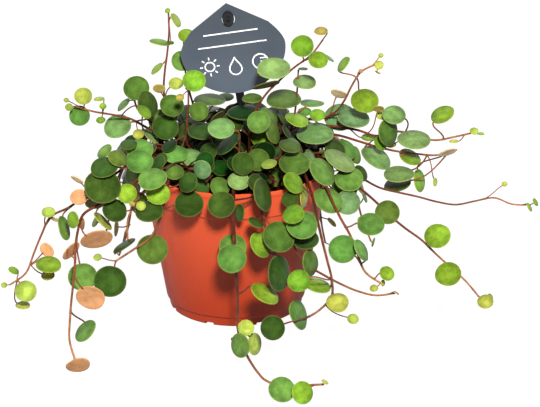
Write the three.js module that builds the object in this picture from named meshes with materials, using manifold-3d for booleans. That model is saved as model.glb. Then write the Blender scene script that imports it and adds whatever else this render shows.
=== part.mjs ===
// A potted trailing peperomia: plastic nursery pot, peat, plant label on a stake, and leafy stems.
// Millimetres, +Z up. The origin is the centre of the pot's flat base. The viewer stands at -Y.
import * as THREE from 'three';
import { mergeVertices } from 'three/addons/utils/BufferGeometryUtils.js';
import Module from 'manifold-3d';

const wasm = await Module();
wasm.setup();

// Pot
const potHeight = 84;
const potTopRadius = 52.5;
const potBaseRadius = 37.6;
const potWall = 1.3;
const potFloor = 1.6;
const potSlope = 0.172;
const potFootHeight = 6;
const potBodyFootRadius = 39.2;
const rimBandHeight = 15.5;
const rimBandStep = 1.1;
const potSides = 32;
const drainHoles = 8;
const drainHoleRadius = 3;
const drainHoleRing = 27;
const drainSlots = 8;
const drainSlotSize = [7, 5, 2.4];

// Peat
const soilTop = 74;
const soilBump = 1.1;
const soilGap = 0.35;
const soilRings = 3;
const soilSides = 20;

// Stems: how deep they stand, and how thick they are
const stemDepth = 7;
const stemHoleDepth = 7.4;
const stemHoleRadius = 1.65;
const stemHoleSides = 4;
const stemSides = { vine: 4, crown: 3, back: 3 };
const ringStep = { vine: 11, crown: 11, back: 14.5 };
const densePerSpan = 12;

// Leaves
const leafRim = 8;
const smallLeafRim = 6;
const smallLeaf = 4.6;
const leafRise = 1.0;
const leafDrop = 0.9;
const stalkWidth = 0.9;
const seatGap = 0.35;
const shortestStalk = 1.8;
const jointSpare = 3;
const tries = 16;

// Label and its stake, which lean together to the left
const labelLean = THREE.MathUtils.degToRad(-8);
const labelCentre = new THREE.Vector3(-1, 5, 148);
const labelThickness = 0.8;
const labelHalfWidth = 29;
const labelApexHeight = 26.2;
const labelShoulder = [21.3, 12.9];
const labelBottom = 25.6;
const labelHole = { height: 17, radius: 3.6 };
const stakeWidth = 4.7;
const stakeThickness = 1.5;
const stakeFoot = 38;

// The line from the plant to the viewer, upward across it, and the slides of a leaf along the line
const towardViewer = new THREE.Vector3(0, -0.934, 0.358);
const viewerUp = new THREE.Vector3(0, 0.358, 0.934);
const slides = [0, 2, -2, 4, -4, 6, -6, 9, -9, 12, -12, 15, -15, 19, -19, 24];

// The stems that set the plant's look, each with its root on the peat, the points that it passes,
// and its leaves as [point, clock hour of the stalk as the viewer sees it, reach, how far toward the
// viewer, radius, and the hour and degrees that the face turns away from the viewer]
const vines = [
  {
    name: 'front',
    thick: 0.8,
    root: [-5, -36],
    route: [[-1, -49, 91], [0, -57, 85], [0, -61, 68], [1, -64, 46], [2, -66, 28], [2, -70, 14],
      [8, -92, 6], [19, -124, 7], [34, -129, 8], [47, -128, 8]],
    leaves: [[0, 3.1, 3.6, 4, 6, 0, 35], [2, 6.1, 17, 10, 8, 0, 15], [2, 6.1, 10.5, 2, 8, 0, 15],
      [4, 2.4, 15.5, 4, 8.5, 1, 60], [5, 5.7, 9, 3, 8, 9, 40], [5, 2.8, 4.5, 8, 4.6, 0, 20],
      [5, 4.5, 13, 1, 6.5, 3, 55], [7, 3.8, 7, 3, 7.5, 0, 20], [8, 5, 4.2, 0, 6.5, 2.5, 25],
      [9, 0.8, 1.7, 2, 2.1, 1, 65]],
  },
  {
    name: 'front_right',
    thick: 0.75,
    root: [12, -36],
    route: [[11, -47, 90], [13, -56, 85], [16, -60, 72], [20, -63, 60], [24, -64, 50]],
    leaves: [[1, 8.5, 20, 8, 7.5, 0, 15], [1, 2.7, 3, 5, 9.5, 2.5, 65], [2, 4.6, 12, 2, 9, 0, 20],
      [3, 8.8, 5.4, 6, 8, 2, 40], [4, 5.9, 6.5, 2, 10, 3, 50], [1, 7.5, 14, 1, 4.8, 9, 55],
      [2, 8.6, 4.2, 2, 4.8, 1, 65]],
  },
  {
    name: 'side_runner',
    thick: 0.7,
    root: [24, -28],
    route: [[27, -42, 90], [30, -53, 84], [32, -57, 69], [34, -59, 52], [46, -62, 43],
      [60, -62, 35], [70, -62, 31], [79, -61, 29], [87, -60, 30]],
    leaves: [[1, 5.9, 2.2, 3, 4.8, 0, 25], [2, 3.2, 4.4, 8, 8.5, 0, 25],
      [2, 11.9, 5.8, 3, 6.5, 11, 35], [2, 4.8, 10.5, 2, 7.5, 0, 40], [3, 4.1, 8.5, 2, 7.5, 3, 55],
      [4, 8.3, 12, 6, 7, 0, 15], [4, 6.2, 7.5, 2, 7.5, 0.5, 60], [0, 4.5, 15.5, 1, 6.5, 3, 70],
      [8, 1.5, 0.6, 1, 1.9, 1, 75]],
  },
  {
    name: 'right_drop',
    thick: 0.75,
    root: [33, -18],
    route: [[38, -35, 90], [40.9, -44, 84], [43.7, -50, 76], [46.1, -54, 64], [49.3, -57, 52],
      [52.1, -66, 42.1], [54, -66, 33.2], [47.1, -69, 26], [43, -67, 20], [37, -66, 17]],
    leaves: [[6, 5.5, 5.8, 3, 6.5, 0, 35], [6, 4.9, 18.5, 3, 3.2, 0, 30],
      [9, 10.9, 3.6, 3, 8.5, 2.5, 60], [9, 8.6, 16.5, 4, 8, 0, 15]],
  },
  {
    name: 'right_fork',
    thick: 0.75,
    root: [34, -8],
    route: [[40, -23, 91], [47, -35, 89], [55, -46, 73], [62, -52, 62], [67, -56, 50],
      [70, -58, 43], [74, -60, 38], [79, -60, 36]],
    leaves: [[0, 4, 9, 8, 9, 1.5, 45], [1, 5.5, 15, 6, 8.5, 1, 40], [1, 4.6, 21.5, 3, 7.5, 0, 20],
      [3, 2.2, 12.5, 4, 7.5, 0, 35], [4, 9.9, 9.5, 4, 8, 0, 15], [4, 0.7, 3.8, 0, 7, 2, 60],
      [6, 2.2, 9, 3, 4.3, 1, 30], [7, 7.7, 4.6, 3, 2.4, 0, 40], [7, 3, 1.3, 1, 1.9, 3, 50]],
  },
  {
    name: 'right_slope',
    thick: 0.7,
    root: [33, 3],
    route: [[45, -8, 90], [61, -20, 83], [70, -27, 77], [78, -31, 71], [89, -37, 62],
      [102, -43, 54], [113, -47, 44], [124, -50, 35], [133, -53, 25]],
    leaves: [[1, 4.8, 2.6, 6, 8, 0, 30], [1, 6.1, 6.5, -2, 7.5, 0, 35],
      [1, 11.3, 9.5, 2, 9.5, 1, 60], [3, 4.5, 7.5, 3, 7, 11.5, 15], [5, 2.4, 8.5, 3, 7.5, 11, 30],
      [6, 5.3, 8.5, 3, 7.5, 11.5, 25], [8, 4.3, 4.1, 3, 4.6, 11.5, 35],
      [8, 3.1, 6.5, 1, 2.2, 2, 50], [0, 2.8, 6.5, 0, 6, 1, 60]],
  },
  {
    name: 'right_long',
    thick: 0.6,
    root: [29, 12],
    route: [[46, 6, 89], [62, -3, 82], [73, -10, 76], [81, -13, 73], [100, -15, 69],
      [122, -15, 64], [143, -12, 67], [158, -11, 61], [164, -10, 62]],
    leaves: [[6, 1.2, 10, 3, 1.7, 11.5, 35], [8, 7, 1.5, 2, 2.8, 2, 65], [8, 2, 3.2, 2, 2.5, 2, 60]],
  },
  {
    name: 'right_reach',
    thick: 0.7,
    root: [21, 18],
    route: [[38, 15, 94], [57, 10, 96], [75, 5, 92], [90, 0, 90], [103, -2, 89], [114, -3, 89],
      [123, -3, 92]],
    leaves: [[2, 5.1, 8, 3, 9.5, 1, 55], [3, 3.8, 8, 3, 7, 1, 55], [3, 5.9, 13.5, 8, 9, 0, 60],
      [4, 7.2, 21.5, 3, 8, 11.5, 60], [4, 6, 15.5, 2, 7, 3, 60], [4, 5.1, 18.5, 2, 2.5, 3, 55],
      [5, 2.2, 3.7, 2, 5.5, 11.5, 105], [2, 2.7, 6, 2, 4.5, 2, 40]],
  },
  {
    name: 'right_high',
    thick: 0.7,
    root: [12, 25],
    route: [[36, 23, 96], [62, 14, 99], [81, 8, 96], [92, 6, 100], [109, 2, 96], [118, 0, 98],
      [125, 0, 99], [132, 0, 101]],
    leaves: [[2, 2, 4.7, 3, 8.5, 3, 50], [3, 11.2, 10, 2, 7, 0, 40], [4, 9.1, 10, 6, 9.5, 0, 55],
      [5, 11.5, 14, 3, 7, 11, 50], [6, 7.7, 4.7, 1, 2.8, 0, 70], [7, 0.5, 0.9, 2, 2.5, 0, 35],
      [7, 3.3, 4.3, 1, 1.9, 0, 65], [2, 0.1, 12.5, 5, 3.6, 0, 35], [2, 11.8, 16, 3, 3.3, 0, 120],
      [1, 3.8, 14, 1, 4.5, 0, 60], [3, 7.1, 9.5, 0, 3.1, 0, 125]],
  },
  {
    name: 'right_top',
    thick: 0.7,
    root: [4, 31],
    route: [[30, 29, 97], [52, 21, 103], [62, 14, 117], [66, 10, 128], [70, 8, 134], [75, 8, 137],
      [80, 8, 139]],
    leaves: [[1, 3.1, 14, 8, 9, 0, 50], [1, 3, 7, 2, 10, 0, 35], [3, 5.1, 13, 3, 8, 0, 30],
      [4, 9.7, 11, 2, 5, 10, 65], [6, 6.8, 1.6, 3, 2.6, 11.5, 15], [6, 0.2, 4.3, 2, 1.5, 0, 20],
      [6, 6.4, 5.5, 1, 1.9, 1, 105], [1, 0.8, 15, 2, 5, 0.5, 115], [4, 9.4, 0.5, 2, 1.4, 0, 35]],
  },
  {
    name: 'left_fork',
    thick: 0.75,
    root: [-33, -14],
    route: [[-42, -25, 92], [-53, -38, 86], [-70, -47, 78], [-81, -54, 73], [-84, -66, 62],
      [-84, -80, 52], [-85, -98, 38], [-85, -111, 25], [-82, -118, 18]],
    leaves: [[2, 6.1, 11, 4, 6.5, 1.5, 75], [2, 9.4, 13.5, 2, 5, 11.5, 150],
      [2, 8.7, 5.5, 0, 5.5, 0, 120], [2, 10.4, 19, 0, 3.8, 1, 110], [3, 8.1, 6, 2, 4.8, 9, 45],
      [3, 6.2, 5.2, 0, 3.5, 3, 70], [4, 7.1, 5.8, 3, 6.5, 10.5, 115],
      [3, 5.1, 15.5, 2, 9, 11.5, 120], [4, 5.7, 20, 3, 8, 0.5, 20], [5, 5.1, 17.5, 0, 8, 0, 140],
      [6, 5, 15, 3, 7, 10.5, 55], [8, 5.1, 3.9, 2, 6.5, 11.5, 125]],
  },
  {
    name: 'left_far',
    thick: 0.7,
    root: [-35, -3],
    route: [[-48, -10, 92], [-63, -21, 86], [-77, -31, 79], [-88, -40, 73], [-100, -46, 68],
      [-106, -52, 55], [-111, -56, 45], [-114, -58, 38], [-121, -60, 35]],
    leaves: [[4, 0, 3.7, 3, 3.8, 0, 40], [4, 3.3, 2.7, 1, 3, 0.5, 115],
      [3, 6.6, 13.5, 3, 7, 2.5, 70], [5, 4, 5.9, 2, 4.6, 1.5, 140], [6, 2.9, 11.5, 6, 7, 0, 50],
      [6, 4, 12, 2, 3.8, 0, 45], [7, 5.6, 7.5, 4, 6, 0.5, 15], [7, 10.5, 6.5, 2, 3.2, 1, 60],
      [7, 6.1, 16, 0, 4.1, 0, 60], [8, 8.9, 3, 2, 1.7, 0.5, 30]],
  },
  {
    name: 'left_side',
    thick: 0.75,
    root: [-27, -25],
    route: [[-34, -39, 89], [-37, -49, 81], [-41, -55, 67], [-46, -57, 60], [-52, -60, 57],
      [-58, -63, 53], [-63, -65, 51]],
    leaves: [[1, 3.5, 13.5, 5, 8, 0, 20], [2, 6.4, 13.5, 4, 8.5, 0.5, 15],
      [6, 6.5, 12, 4, 9, 0.5, 15], [6, 9.4, 10, 1, 2.4, 0, 40]],
  },
  {
    name: 'left_stub',
    thick: 0.7,
    root: [-31, -20],
    route: [[-41, -34, 89], [-48, -44, 83], [-55, -51, 76], [-57, -55, 69], [-57, -59, 61]],
    leaves: [[2, 8.7, 9, 2, 7, 1, 30], [2, 3.4, 10, 2, 8, 0, 45], [4, 7, 3.8, 2, 7, 11, 75],
      [1, 8.7, 9.5, 6, 5.5, 0.5, 10], [2, 2.6, 5.5, 6, 2.7, 0.5, 20],
      [1, 3.4, 7.5, 8, 6.5, 0.5, 15], [2, 0.5, 2.3, 5, 1.6, 0, 145]],
  },
  {
    name: 'left_low',
    thick: 0.75,
    root: [-31, -8],
    route: [[-42, -19, 93], [-50, -30, 91], [-57, -37, 93], [-62, -41, 96], [-67, -43, 98]],
    leaves: [[3, 7.2, 14, 6, 10.5, 0.5, 25], [1, 11.5, 4.1, 8, 7.5, 0, 30],
      [1, 11.8, 10.5, 0, 7.5, 0, 30], [3, 8.9, 7.5, 0, 8, 11.5, 40], [3, 11.9, 4.8, 2, 5.5, 1, 40],
      [4, 11.2, 8.5, -2, 5.5, 10.5, 55], [2, 0, 14.5, -3, 5, 0, 50]],
  },
  {
    name: 'left_up',
    thick: 0.7,
    root: [-24, 8],
    route: [[-38, 4, 95], [-49, -3, 105], [-55, -8, 111], [-64, -12, 115], [-73, -16, 118],
      [-79, -18, 120], [-86, -20, 123]],
    leaves: [[2, 8.3, 10, 4, 8, 11.5, 30], [2, 1.3, 12, 2, 7.5, 2.5, 45],
      [2, 1.8, 7.5, 6, 5, 1.5, 55], [4, 0.8, 4.1, 3, 2, 0.5, 25], [4, 11.9, 8, 1, 3, 0, 65],
      [4, 5.9, 4.2, 2, 2.7, 0, 45], [5, 11.4, 8.5, 4, 5, 0.5, 15], [5, 8, 6, 3, 6, 11.5, 10],
      [6, 8.7, 3.4, 3, 2.3, 0.5, 25], [6, 10.2, 6, 2, 1.5, 0.5, 25], [2, 5.5, 8.5, 6, 3.2, 0, 30]],
  },
  {
    name: 'left_top',
    thick: 0.7,
    root: [-20, 16],
    route: [[-38, 11, 98], [-50, 5, 108], [-55, 1, 117], [-56, -1, 124]],
    leaves: [[3, 1.1, 3.7, 4, 7.5, 0.5, 15], [2, 9, 6.5, 1, 4.7, 10.5, 65],
      [1, 3.9, 13, 6, 7.5, 0.5, 10], [1, 3.4, 8.5, 1, 7.5, 0.5, 10],
      [1, 5.4, 11.5, 3, 5.5, 1.5, 65]],
  },
  {
    name: 'upright_left',
    thick: 0.65,
    root: [-15, 6],
    route: [[-33, 6, 100], [-39, 4, 120], [-38, 4, 140], [-36, 4, 152], [-36, 4, 163],
      [-36, 4, 169]],
    leaves: [[1, 11.1, 5.9, 3, 3.6, 0, 130], [1, 1.3, 10.5, 3, 4.1, 0, 30],
      [2, 7.9, 5.7, 1, 4.4, 10.5, 65], [3, 9.1, 4.8, 2, 6, 0.5, 70], [3, 3.7, 1.6, 2, 1.6, 0, 50],
      [4, 2.3, 4.4, 2, 4.4, 2, 65], [5, 11.2, 1, 1, 1.6, 11, 30], [0, 11.8, 14.5, 1, 7.5, 0, 25]],
  },
  {
    name: 'upright_mid',
    thick: 0.65,
    root: [-8, -9],
    route: [[-26.3, -16, 100.4], [-25.4, -15, 112.4], [-25, -14, 130]],
    leaves: [[2, 1, 6.5, 3, 6.5, 0, 20], [2, 7.6, 6, 4, 2.3, 0, 30],
      [1, 1.5, 8.5, 3, 5.5, 0.5, 10], [0, 7.4, 8.5, 9, 7, 0, 45], [0, 5.7, 8, 5, 7.5, 0, 50],
      [0, 1.7, 11, 2, 8, 0, 50]],
  },
  {
    name: 'behind_label',
    thick: 0.65,
    root: [-6, 17],
    route: [[-20, 17, 102], [-27, 15, 127], [-28, 14, 145]],
    leaves: [[2, 0.3, 8, 2, 4.6, 0, 30], [1, 11.6, 11, 3, 6, 0.5, 15], [0, 0.8, 14, 1, 9, 0, 65],
      [0, 1.5, 20.5, -2, 5, 0, 55]],
  },
  {
    name: 'mid_right_up',
    thick: 0.65,
    root: [9, -10],
    route: [[8, -15, 103], [12, -15, 120], [18, -14, 129], [31, -11, 141], [41, -9, 148],
      [48, -8, 157]],
    leaves: [[3, 9.1, 9.5, 6, 9, 0, 45], [2, 11.6, 4.3, 1, 8, 11.5, 100],
      [4, 10.8, 7, 3, 6.5, 0, 20], [4, 3.9, 5, 3, 5.5, 0, 25], [4, 3.1, 10, 0, 4.1, 1, 70],
      [5, 11.6, 5, 2, 3.8, 0, 50], [0, 1, 10.5, 8, 6.5, 0, 15], [0, 2.7, 7, 4, 7, 0, 15],
      [0, 2.4, 13.5, 0, 7.5, 2.5, 60], [1, 11.3, 6.5, 1, 5.5, 0, 60], [1, 8.5, 7, -4, 9.5, 0, 60]],
  },
  {
    name: 'mid_right_post',
    thick: 0.65,
    root: [17, 3],
    route: [[31, 3, 102], [34, 3, 121], [35, 4, 136]],
    leaves: [[1, 8.6, 7, 2, 10, 0, 55], [0, 1, 6.5, 6, 7, 0.5, 60], [0, 3.4, 13.5, 4, 10.5, 0, 55],
      [1, 0.9, 9.5, 2, 6.5, 0, 50], [2, 2.6, 2.6, 2, 2.7, 0, 70], [1, 2.9, 11, 4, 8, 0.5, 105],
      [1, 3.6, 9.5, 0, 8, 0, 65], [0, 2, 17, 2, 4.7, 0, 40], [0, 1.2, 13, 2, 4.4, 0, 50]],
  },
  {
    name: 'centre_front',
    thick: 0.7,
    root: [2, -23],
    route: [[2, -31, 91], [3, -36, 103]],
    leaves: [[1, 10.8, 16, 8, 7.5, 0, 40], [1, 10.1, 8, 4, 9, 11, 45],
      [0, 1.6, 4.1, 2, 7.5, 0, 15], [0, 7.4, 14, 3, 6.5, 0, 25], [0, 9.1, 9, -3, 5.5, 0, 35],
      [1, 3.9, 11, -3, 6.5, 0, 15]],
  },
  {
    name: 'centre_right',
    thick: 0.7,
    root: [17, -17],
    route: [[22, -29, 91], [26, -33, 102]],
    leaves: [[0, 10.1, 3.8, 9, 4.5, 11.5, 55], [0, 9.3, 11, 9, 3, 0, 40],
      [0, 5.5, 5.7, 4, 6.5, 0, 20], [1, 4.6, 9.5, 4, 8.5, 0, 40], [1, 1.8, 4.8, 1, 6, 0.5, 55]],
  },
  {
    name: 'centre_left',
    thick: 0.7,
    root: [-16, -21],
    route: [[-24, -31, 89], [-28, -34, 96]],
    leaves: [[0, 9, 8, 4, 5.5, 0, 30], [1, 7.9, 18, 3, 9.5, 0, 55]],
  },
];

// Short stems that fill the crown, and stems that trail over the back and sides, both by rule
const crownStems = 14;
const crownStemThick = 0.7;
const crownDomeHeight = 116;
const crownDomeDrop = 0.0065;
const crownLeafRadius = [6.4, 8.9];
const goldenTurn = THREE.MathUtils.degToRad(137.508);
const backStems = 7;
const backStemThick = 0.7;
const backFrom = THREE.MathUtils.degToRad(8);
const backTo = THREE.MathUtils.degToRad(172);
const backLengths = [62, 94, 74, 100, 70, 96, 64];
const rootSpacing = 3.9;
const fillRadius = 70;
const fillHeight = 84;
const secondLeafHeight = 94;

// How strongly the leaves by rule turn to the light, which comes from the viewer's side
const lightPull = 0.35;

// A leaf by rule keeps from before a given leaf, when they are closer across the sight line than
// this share of their radii
const hidingShare = 0.72;

const potMaterial = new THREE.MeshStandardMaterial({ color: 0xc8482c, roughness: 0.55, metalness: 0 });
const soilMaterial = new THREE.MeshStandardMaterial({ color: 0x2a1d16, roughness: 0.95, metalness: 0 });
const labelMaterial = new THREE.MeshStandardMaterial({ color: 0x5d646e, roughness: 0.5, metalness: 0 });
const stakeMaterial = new THREE.MeshStandardMaterial({ color: 0x111214, roughness: 0.4, metalness: 0 });
const plantMaterial = new THREE.MeshStandardMaterial({ color: 0x4f7d45, roughness: 0.45, metalness: 0 });

const plant = new THREE.Group();

// A closed mesh as a solid that can be joined and cut
function toSolid(geometry) {
  const bare = geometry.clone();
  bare.deleteAttribute('normal');
  bare.deleteAttribute('uv');
  const merged = mergeVertices(bare, 1e-4);
  return new wasm.Manifold(new wasm.Mesh({
    numProp: 3,
    vertProperties: new Float32Array(merged.attributes.position.array),
    triVerts: new Uint32Array(merged.index.array),
  }));
}

// A solid as a mesh to show
function toGeometry(solid) {
  const mesh = solid.getMesh();
  const geometry = new THREE.BufferGeometry();
  geometry.setAttribute('position', new THREE.BufferAttribute(mesh.vertProperties, 3));
  geometry.setIndex(new THREE.BufferAttribute(mesh.triVerts, 1));
  geometry.computeVertexNormals();
  return geometry;
}

function addPiece(name, solid, material) {
  const mesh = new THREE.Mesh(toGeometry(solid), material);
  mesh.name = name;
  plant.add(mesh);
}

// A repeatable number from 0 to 1 for each set of whole numbers
function draw(...keys) {
  let hash = 0x811c9dc5;
  for (const key of keys) {
    hash = Math.imul(hash ^ key, 0x01000193);
    hash ^= hash >>> 13;
    hash = Math.imul(hash, 0x5bd1e995);
    hash ^= hash >>> 15;
  }
  return (hash >>> 0) / 4294967296;
}

// An upright prism, round or with few sides, between two heights
function upright(radius, low, high, sides, x, y) {
  const geometry = new THREE.CylinderGeometry(radius, radius, high - low, sides);
  geometry.rotateX(Math.PI / 2);
  geometry.translate(x, y, (low + high) / 2);
  return toSolid(geometry);
}

// A profile of radii and heights turned round the pot's axis
function turned(profile, sides) {
  const points = profile.map(([radius, height]) => new THREE.Vector2(radius, height));
  const geometry = new THREE.LatheGeometry(points, sides);
  geometry.rotateX(Math.PI / 2);
  return toSolid(geometry);
}

// Radius of the pot's outside, below the rim band, at a height
function potRadiusAt(height) {
  return potBodyFootRadius + potSlope * (height - potFootHeight);
}

// The pot: base, stepped foot, sloping body, rim band and rolled lip, then the inside
function makePot() {
  const bandLow = potHeight - rimBandHeight;
  const innerBase = potRadiusAt(potFloor) - potWall;
  let pot = turned([
    [0, 0],
    [potBaseRadius - 0.9, 0],
    [potBaseRadius - 0.2, 0.7],
    [potBaseRadius + 0.5, potFootHeight - 0.5],
    [potBodyFootRadius, potFootHeight],
    [potRadiusAt(bandLow), bandLow],
    [potRadiusAt(bandLow) + rimBandStep, bandLow + 0.7],
    [potTopRadius, potHeight - 1],
    [potTopRadius - 0.4, potHeight],
    [potTopRadius - potWall, potHeight],
    [potRadiusAt(bandLow) - potWall + 0.4, bandLow + 1],
    [innerBase + 0.3, potFloor + 1.4],
    [innerBase - 1.8, potFloor],
    [0, potFloor],
  ], potSides);
  for (let i = 0; i < drainHoles; i += 1) {
    const turn = (i / drainHoles) * 2 * Math.PI;
    const x = drainHoleRing * Math.cos(turn);
    const y = drainHoleRing * Math.sin(turn);
    pot = pot.subtract(upright(drainHoleRadius, -1, potFloor + 1, 8, x, y));
  }
  for (let i = 0; i < drainSlots; i += 1) {
    const geometry = new THREE.BoxGeometry(...drainSlotSize);
    geometry.translate(potBaseRadius, 0, drainSlotSize[2] / 2 - 0.5);
    geometry.rotateZ(((i + 0.5) / drainSlots) * 2 * Math.PI);
    pot = pot.subtract(toSolid(geometry));
  }
  return pot;
}

// The peat: a plug with an uneven top, and a plain hole for each stem and for the stake
function makeSoil(roots) {
  const low = potFloor + seatGap;
  const lowRadius = potRadiusAt(low) - potWall - soilGap - 2.2;
  const topRadius = potRadiusAt(soilTop - 3) - potWall - soilGap - 0.3;
  const profile = [[0, low], [lowRadius, low], [lowRadius + 2.2, low + 3]];
  profile.push([topRadius, soilTop - 4]);
  for (let i = 0; i < soilRings; i += 1) {
    profile.push([topRadius * (1 - (i + 0.6) / soilRings), soilTop]);
  }
  profile.push([0, soilTop]);
  const points = profile.map(([radius, height]) => new THREE.Vector2(radius, height));
  const geometry = new THREE.LatheGeometry(points, soilSides);
  geometry.rotateX(Math.PI / 2);
  const place = geometry.attributes.position;
  for (let i = 0; i < place.count; i += 1) {
    if (place.getZ(i) > soilTop - 1) {
      place.setZ(i, soilTop + soilBump * bumpAt(place.getX(i), place.getY(i)));
    }
  }
  let soil = toSolid(geometry).subtract(stakeSlot());
  for (const [x, y] of roots) {
    const bottom = soilTop - stemHoleDepth;
    soil = soil.subtract(upright(stemHoleRadius, bottom, soilTop + 5, stemHoleSides, x, y));
  }
  return soil;
}

// The slot that the stake stands in, a little wider than the stake all round
function stakeSlot() {
  const low = stakeFoot - seatGap - labelCentre.z;
  const high = soilTop + 12 - labelCentre.z;
  const width = stakeWidth + 2 * seatGap;
  const thickness = stakeThickness + 2 * seatGap;
  const slot = new THREE.BoxGeometry(width, high - low, thickness);
  slot.translate(0, (low + high) / 2, thickness / 2);
  return standUp(slot, labelThickness / 2 + 0.3 + stakeThickness + seatGap);
}

// Height of the peat's bumps, from -1 to 1
function bumpAt(x, y) {
  return Math.sin(x * 0.31 + 1.7) * Math.cos(y * 0.27) * 0.6 + Math.sin(x * 0.11 - y * 0.19) * 0.4;
}

// The label's outline: a point, straight shoulders and a broad round body
function labelOutline() {
  const [shoulderX, shoulderZ] = labelShoulder;
  const outline = new THREE.Shape();
  outline.moveTo(0, labelApexHeight);
  outline.lineTo(-shoulderX, shoulderZ);
  outline.quadraticCurveTo(-labelHalfWidth + 0.4, shoulderZ - 8, -labelHalfWidth, 0);
  outline.bezierCurveTo(-labelHalfWidth, -15, -14, -labelBottom, 0, -labelBottom);
  outline.bezierCurveTo(14, -labelBottom, labelHalfWidth, -15, labelHalfWidth, 0);
  outline.quadraticCurveTo(labelHalfWidth - 0.4, shoulderZ - 8, shoulderX, shoulderZ);
  outline.lineTo(0, labelApexHeight);
  return outline;
}

// Turns a shape drawn facing the viewer into its place on the leaning stake
function standUp(geometry, depth) {
  geometry.rotateX(Math.PI / 2);
  geometry.translate(0, depth, 0);
  geometry.rotateY(labelLean);
  geometry.translate(labelCentre.x, labelCentre.y, labelCentre.z);
  return toSolid(geometry);
}

function makeLabel() {
  const outline = labelOutline();
  const hole = new THREE.Path();
  hole.absarc(0, labelHole.height, labelHole.radius, 0, 2 * Math.PI, true);
  outline.holes.push(hole);
  const settings = { depth: labelThickness, bevelEnabled: false, curveSegments: 8 };
  return standUp(new THREE.ExtrudeGeometry(outline, settings), labelThickness / 2);
}

// The stake: a flat bar behind the label, pointed at its foot, and a peg with a head in the hole
function makeStake() {
  const barTop = labelHole.height + 2;
  const barLow = stakeFoot - labelCentre.z;
  const half = stakeWidth / 2;
  const bar = new THREE.Shape();
  bar.moveTo(-half, barTop);
  bar.lineTo(-half, barLow + 9);
  bar.lineTo(0, barLow);
  bar.lineTo(half, barLow + 9);
  bar.lineTo(half, barTop);
  bar.absarc(0, barTop, half, 0, Math.PI, false);
  const behind = labelThickness / 2 + 0.3;
  const settings = { depth: stakeThickness, bevelEnabled: false, curveSegments: 6 };
  const back = standUp(new THREE.ExtrudeGeometry(bar, settings), behind + stakeThickness);
  const pegReach = labelThickness + 2.4;
  const peg = new THREE.CylinderGeometry(2.4, 2.4, pegReach, 8);
  peg.rotateX(Math.PI / 2);
  peg.translate(0, labelHole.height + 0.8, 0);
  peg.translate(0, 0, pegReach / 2 - 0.8);
  const head = new THREE.CylinderGeometry(3.2, 3.4, 1, 10);
  head.rotateX(Math.PI / 2);
  head.scale(1, 1.3, 1);
  head.translate(0, labelHole.height + 0.8, pegReach - 0.6);
  return back.add(standUp(peg, behind)).add(standUp(head, behind));
}

// The stretch of a smooth curve from b to c, which a and d lead into and out of
function smooth(a, b, c, d, t) {
  const value = (p, q, r, s) => 0.5 * (2 * q + (r - p) * t + (2 * p - 5 * q + 4 * r - s) * t * t
    + (3 * q - p - 3 * r + s) * t * t * t);
  return new THREE.Vector3(
    value(a.x, b.x, c.x, d.x),
    value(a.y, b.y, c.y, d.y),
    value(a.z, b.z, c.z, d.z),
  );
}

// Points an even step apart along the smooth curve through the given ones
function evenRoute(points, step) {
  const dense = [];
  for (let i = 0; i + 1 < points.length; i += 1) {
    const before = points[Math.max(i - 1, 0)];
    const after = points[Math.min(i + 2, points.length - 1)];
    for (let k = 0; k < densePerSpan; k += 1) {
      dense.push(smooth(before, points[i], points[i + 1], after, k / densePerSpan));
    }
  }
  dense.push(points[points.length - 1]);
  const travelled = [0];
  for (let i = 1; i < dense.length; i += 1) {
    travelled.push(travelled[i - 1] + dense[i].distanceTo(dense[i - 1]));
  }
  const length = travelled[travelled.length - 1];
  const count = Math.max(3, Math.round(length / step));
  const even = [];
  let at = 0;
  for (let i = 0; i <= count; i += 1) {
    const wanted = (length * i) / count;
    while (at < dense.length - 2 && travelled[at + 1] < wanted) {
      at += 1;
    }
    const part = (wanted - travelled[at]) / (travelled[at + 1] - travelled[at]);
    even.push(dense[at].clone().lerp(dense[at + 1], Math.min(part, 1)));
  }
  return even;
}

// A stem stands upright in its hole and then follows its route
function stemRoute(root, route, fill) {
  const [x, y] = root;
  const points = [soilTop - stemDepth, soilTop + 2.5, soilTop + 6].map((z) => new THREE.Vector3(x, y, z));
  const passed = route.map((point) => new THREE.Vector3(...point));
  return evenRoute(points.concat(passed), ringStep[fill]);
}

// Everything that a new leaf or stem has to stay clear of
const rods = [];
const blades = [];

// How far a point is from the line between two others
function toRod(point, from, to) {
  const line = to.clone().sub(from);
  const part = point.clone().sub(from).dot(line) / Math.max(line.lengthSq(), 1e-9);
  return point.distanceTo(from.clone().addScaledVector(line, Math.min(Math.max(part, 0), 1)));
}

// How far a point is from the surface of a round blade that thins out to its rim
function toBlade(point, blade) {
  const offset = point.clone().sub(blade.centre);
  const height = offset.dot(blade.normal);
  const reach = Math.sqrt(Math.max(offset.lengthSq() - height * height, 0));
  const half = blade.half * Math.max(0, 1 - reach / blade.radius);
  return Math.hypot(height, Math.max(0, reach - blade.radius)) - half;
}

// How far a point is outside the pot's wall, the peat and the floor
function toGround(point) {
  const ring = Math.hypot(point.x, point.y);
  const wall = potRadiusAt(Math.min(Math.max(point.z, 0), potHeight)) - potWall / 2 + 0.4;
  const aside = Math.abs(ring - wall) - potWall / 2 - 0.5;
  const nearWall = Math.max(aside, point.z - potHeight);
  const overPeat = ring < wall ? point.z - soilTop - soilBump : point.z;
  return Math.min(nearWall, overPeat);
}

// Points over a blade, each with the blade's half thickness there
function spread(blade) {
  const points = [[blade.centre, blade.half]];
  for (let i = 0; i < 24; i += 1) {
    const rim = i < 16;
    const turn = rim ? (i / 16) * 2 * Math.PI : (i / 8) * 2 * Math.PI;
    const reach = rim ? blade.radius : blade.radius / 2;
    const point = blade.centre.clone()
      .addScaledVector(blade.along, reach * Math.cos(turn))
      .addScaledVector(blade.across, reach * Math.sin(turn));
    points.push([point, rim ? 0 : blade.half / 2]);
  }
  return points;
}

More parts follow.
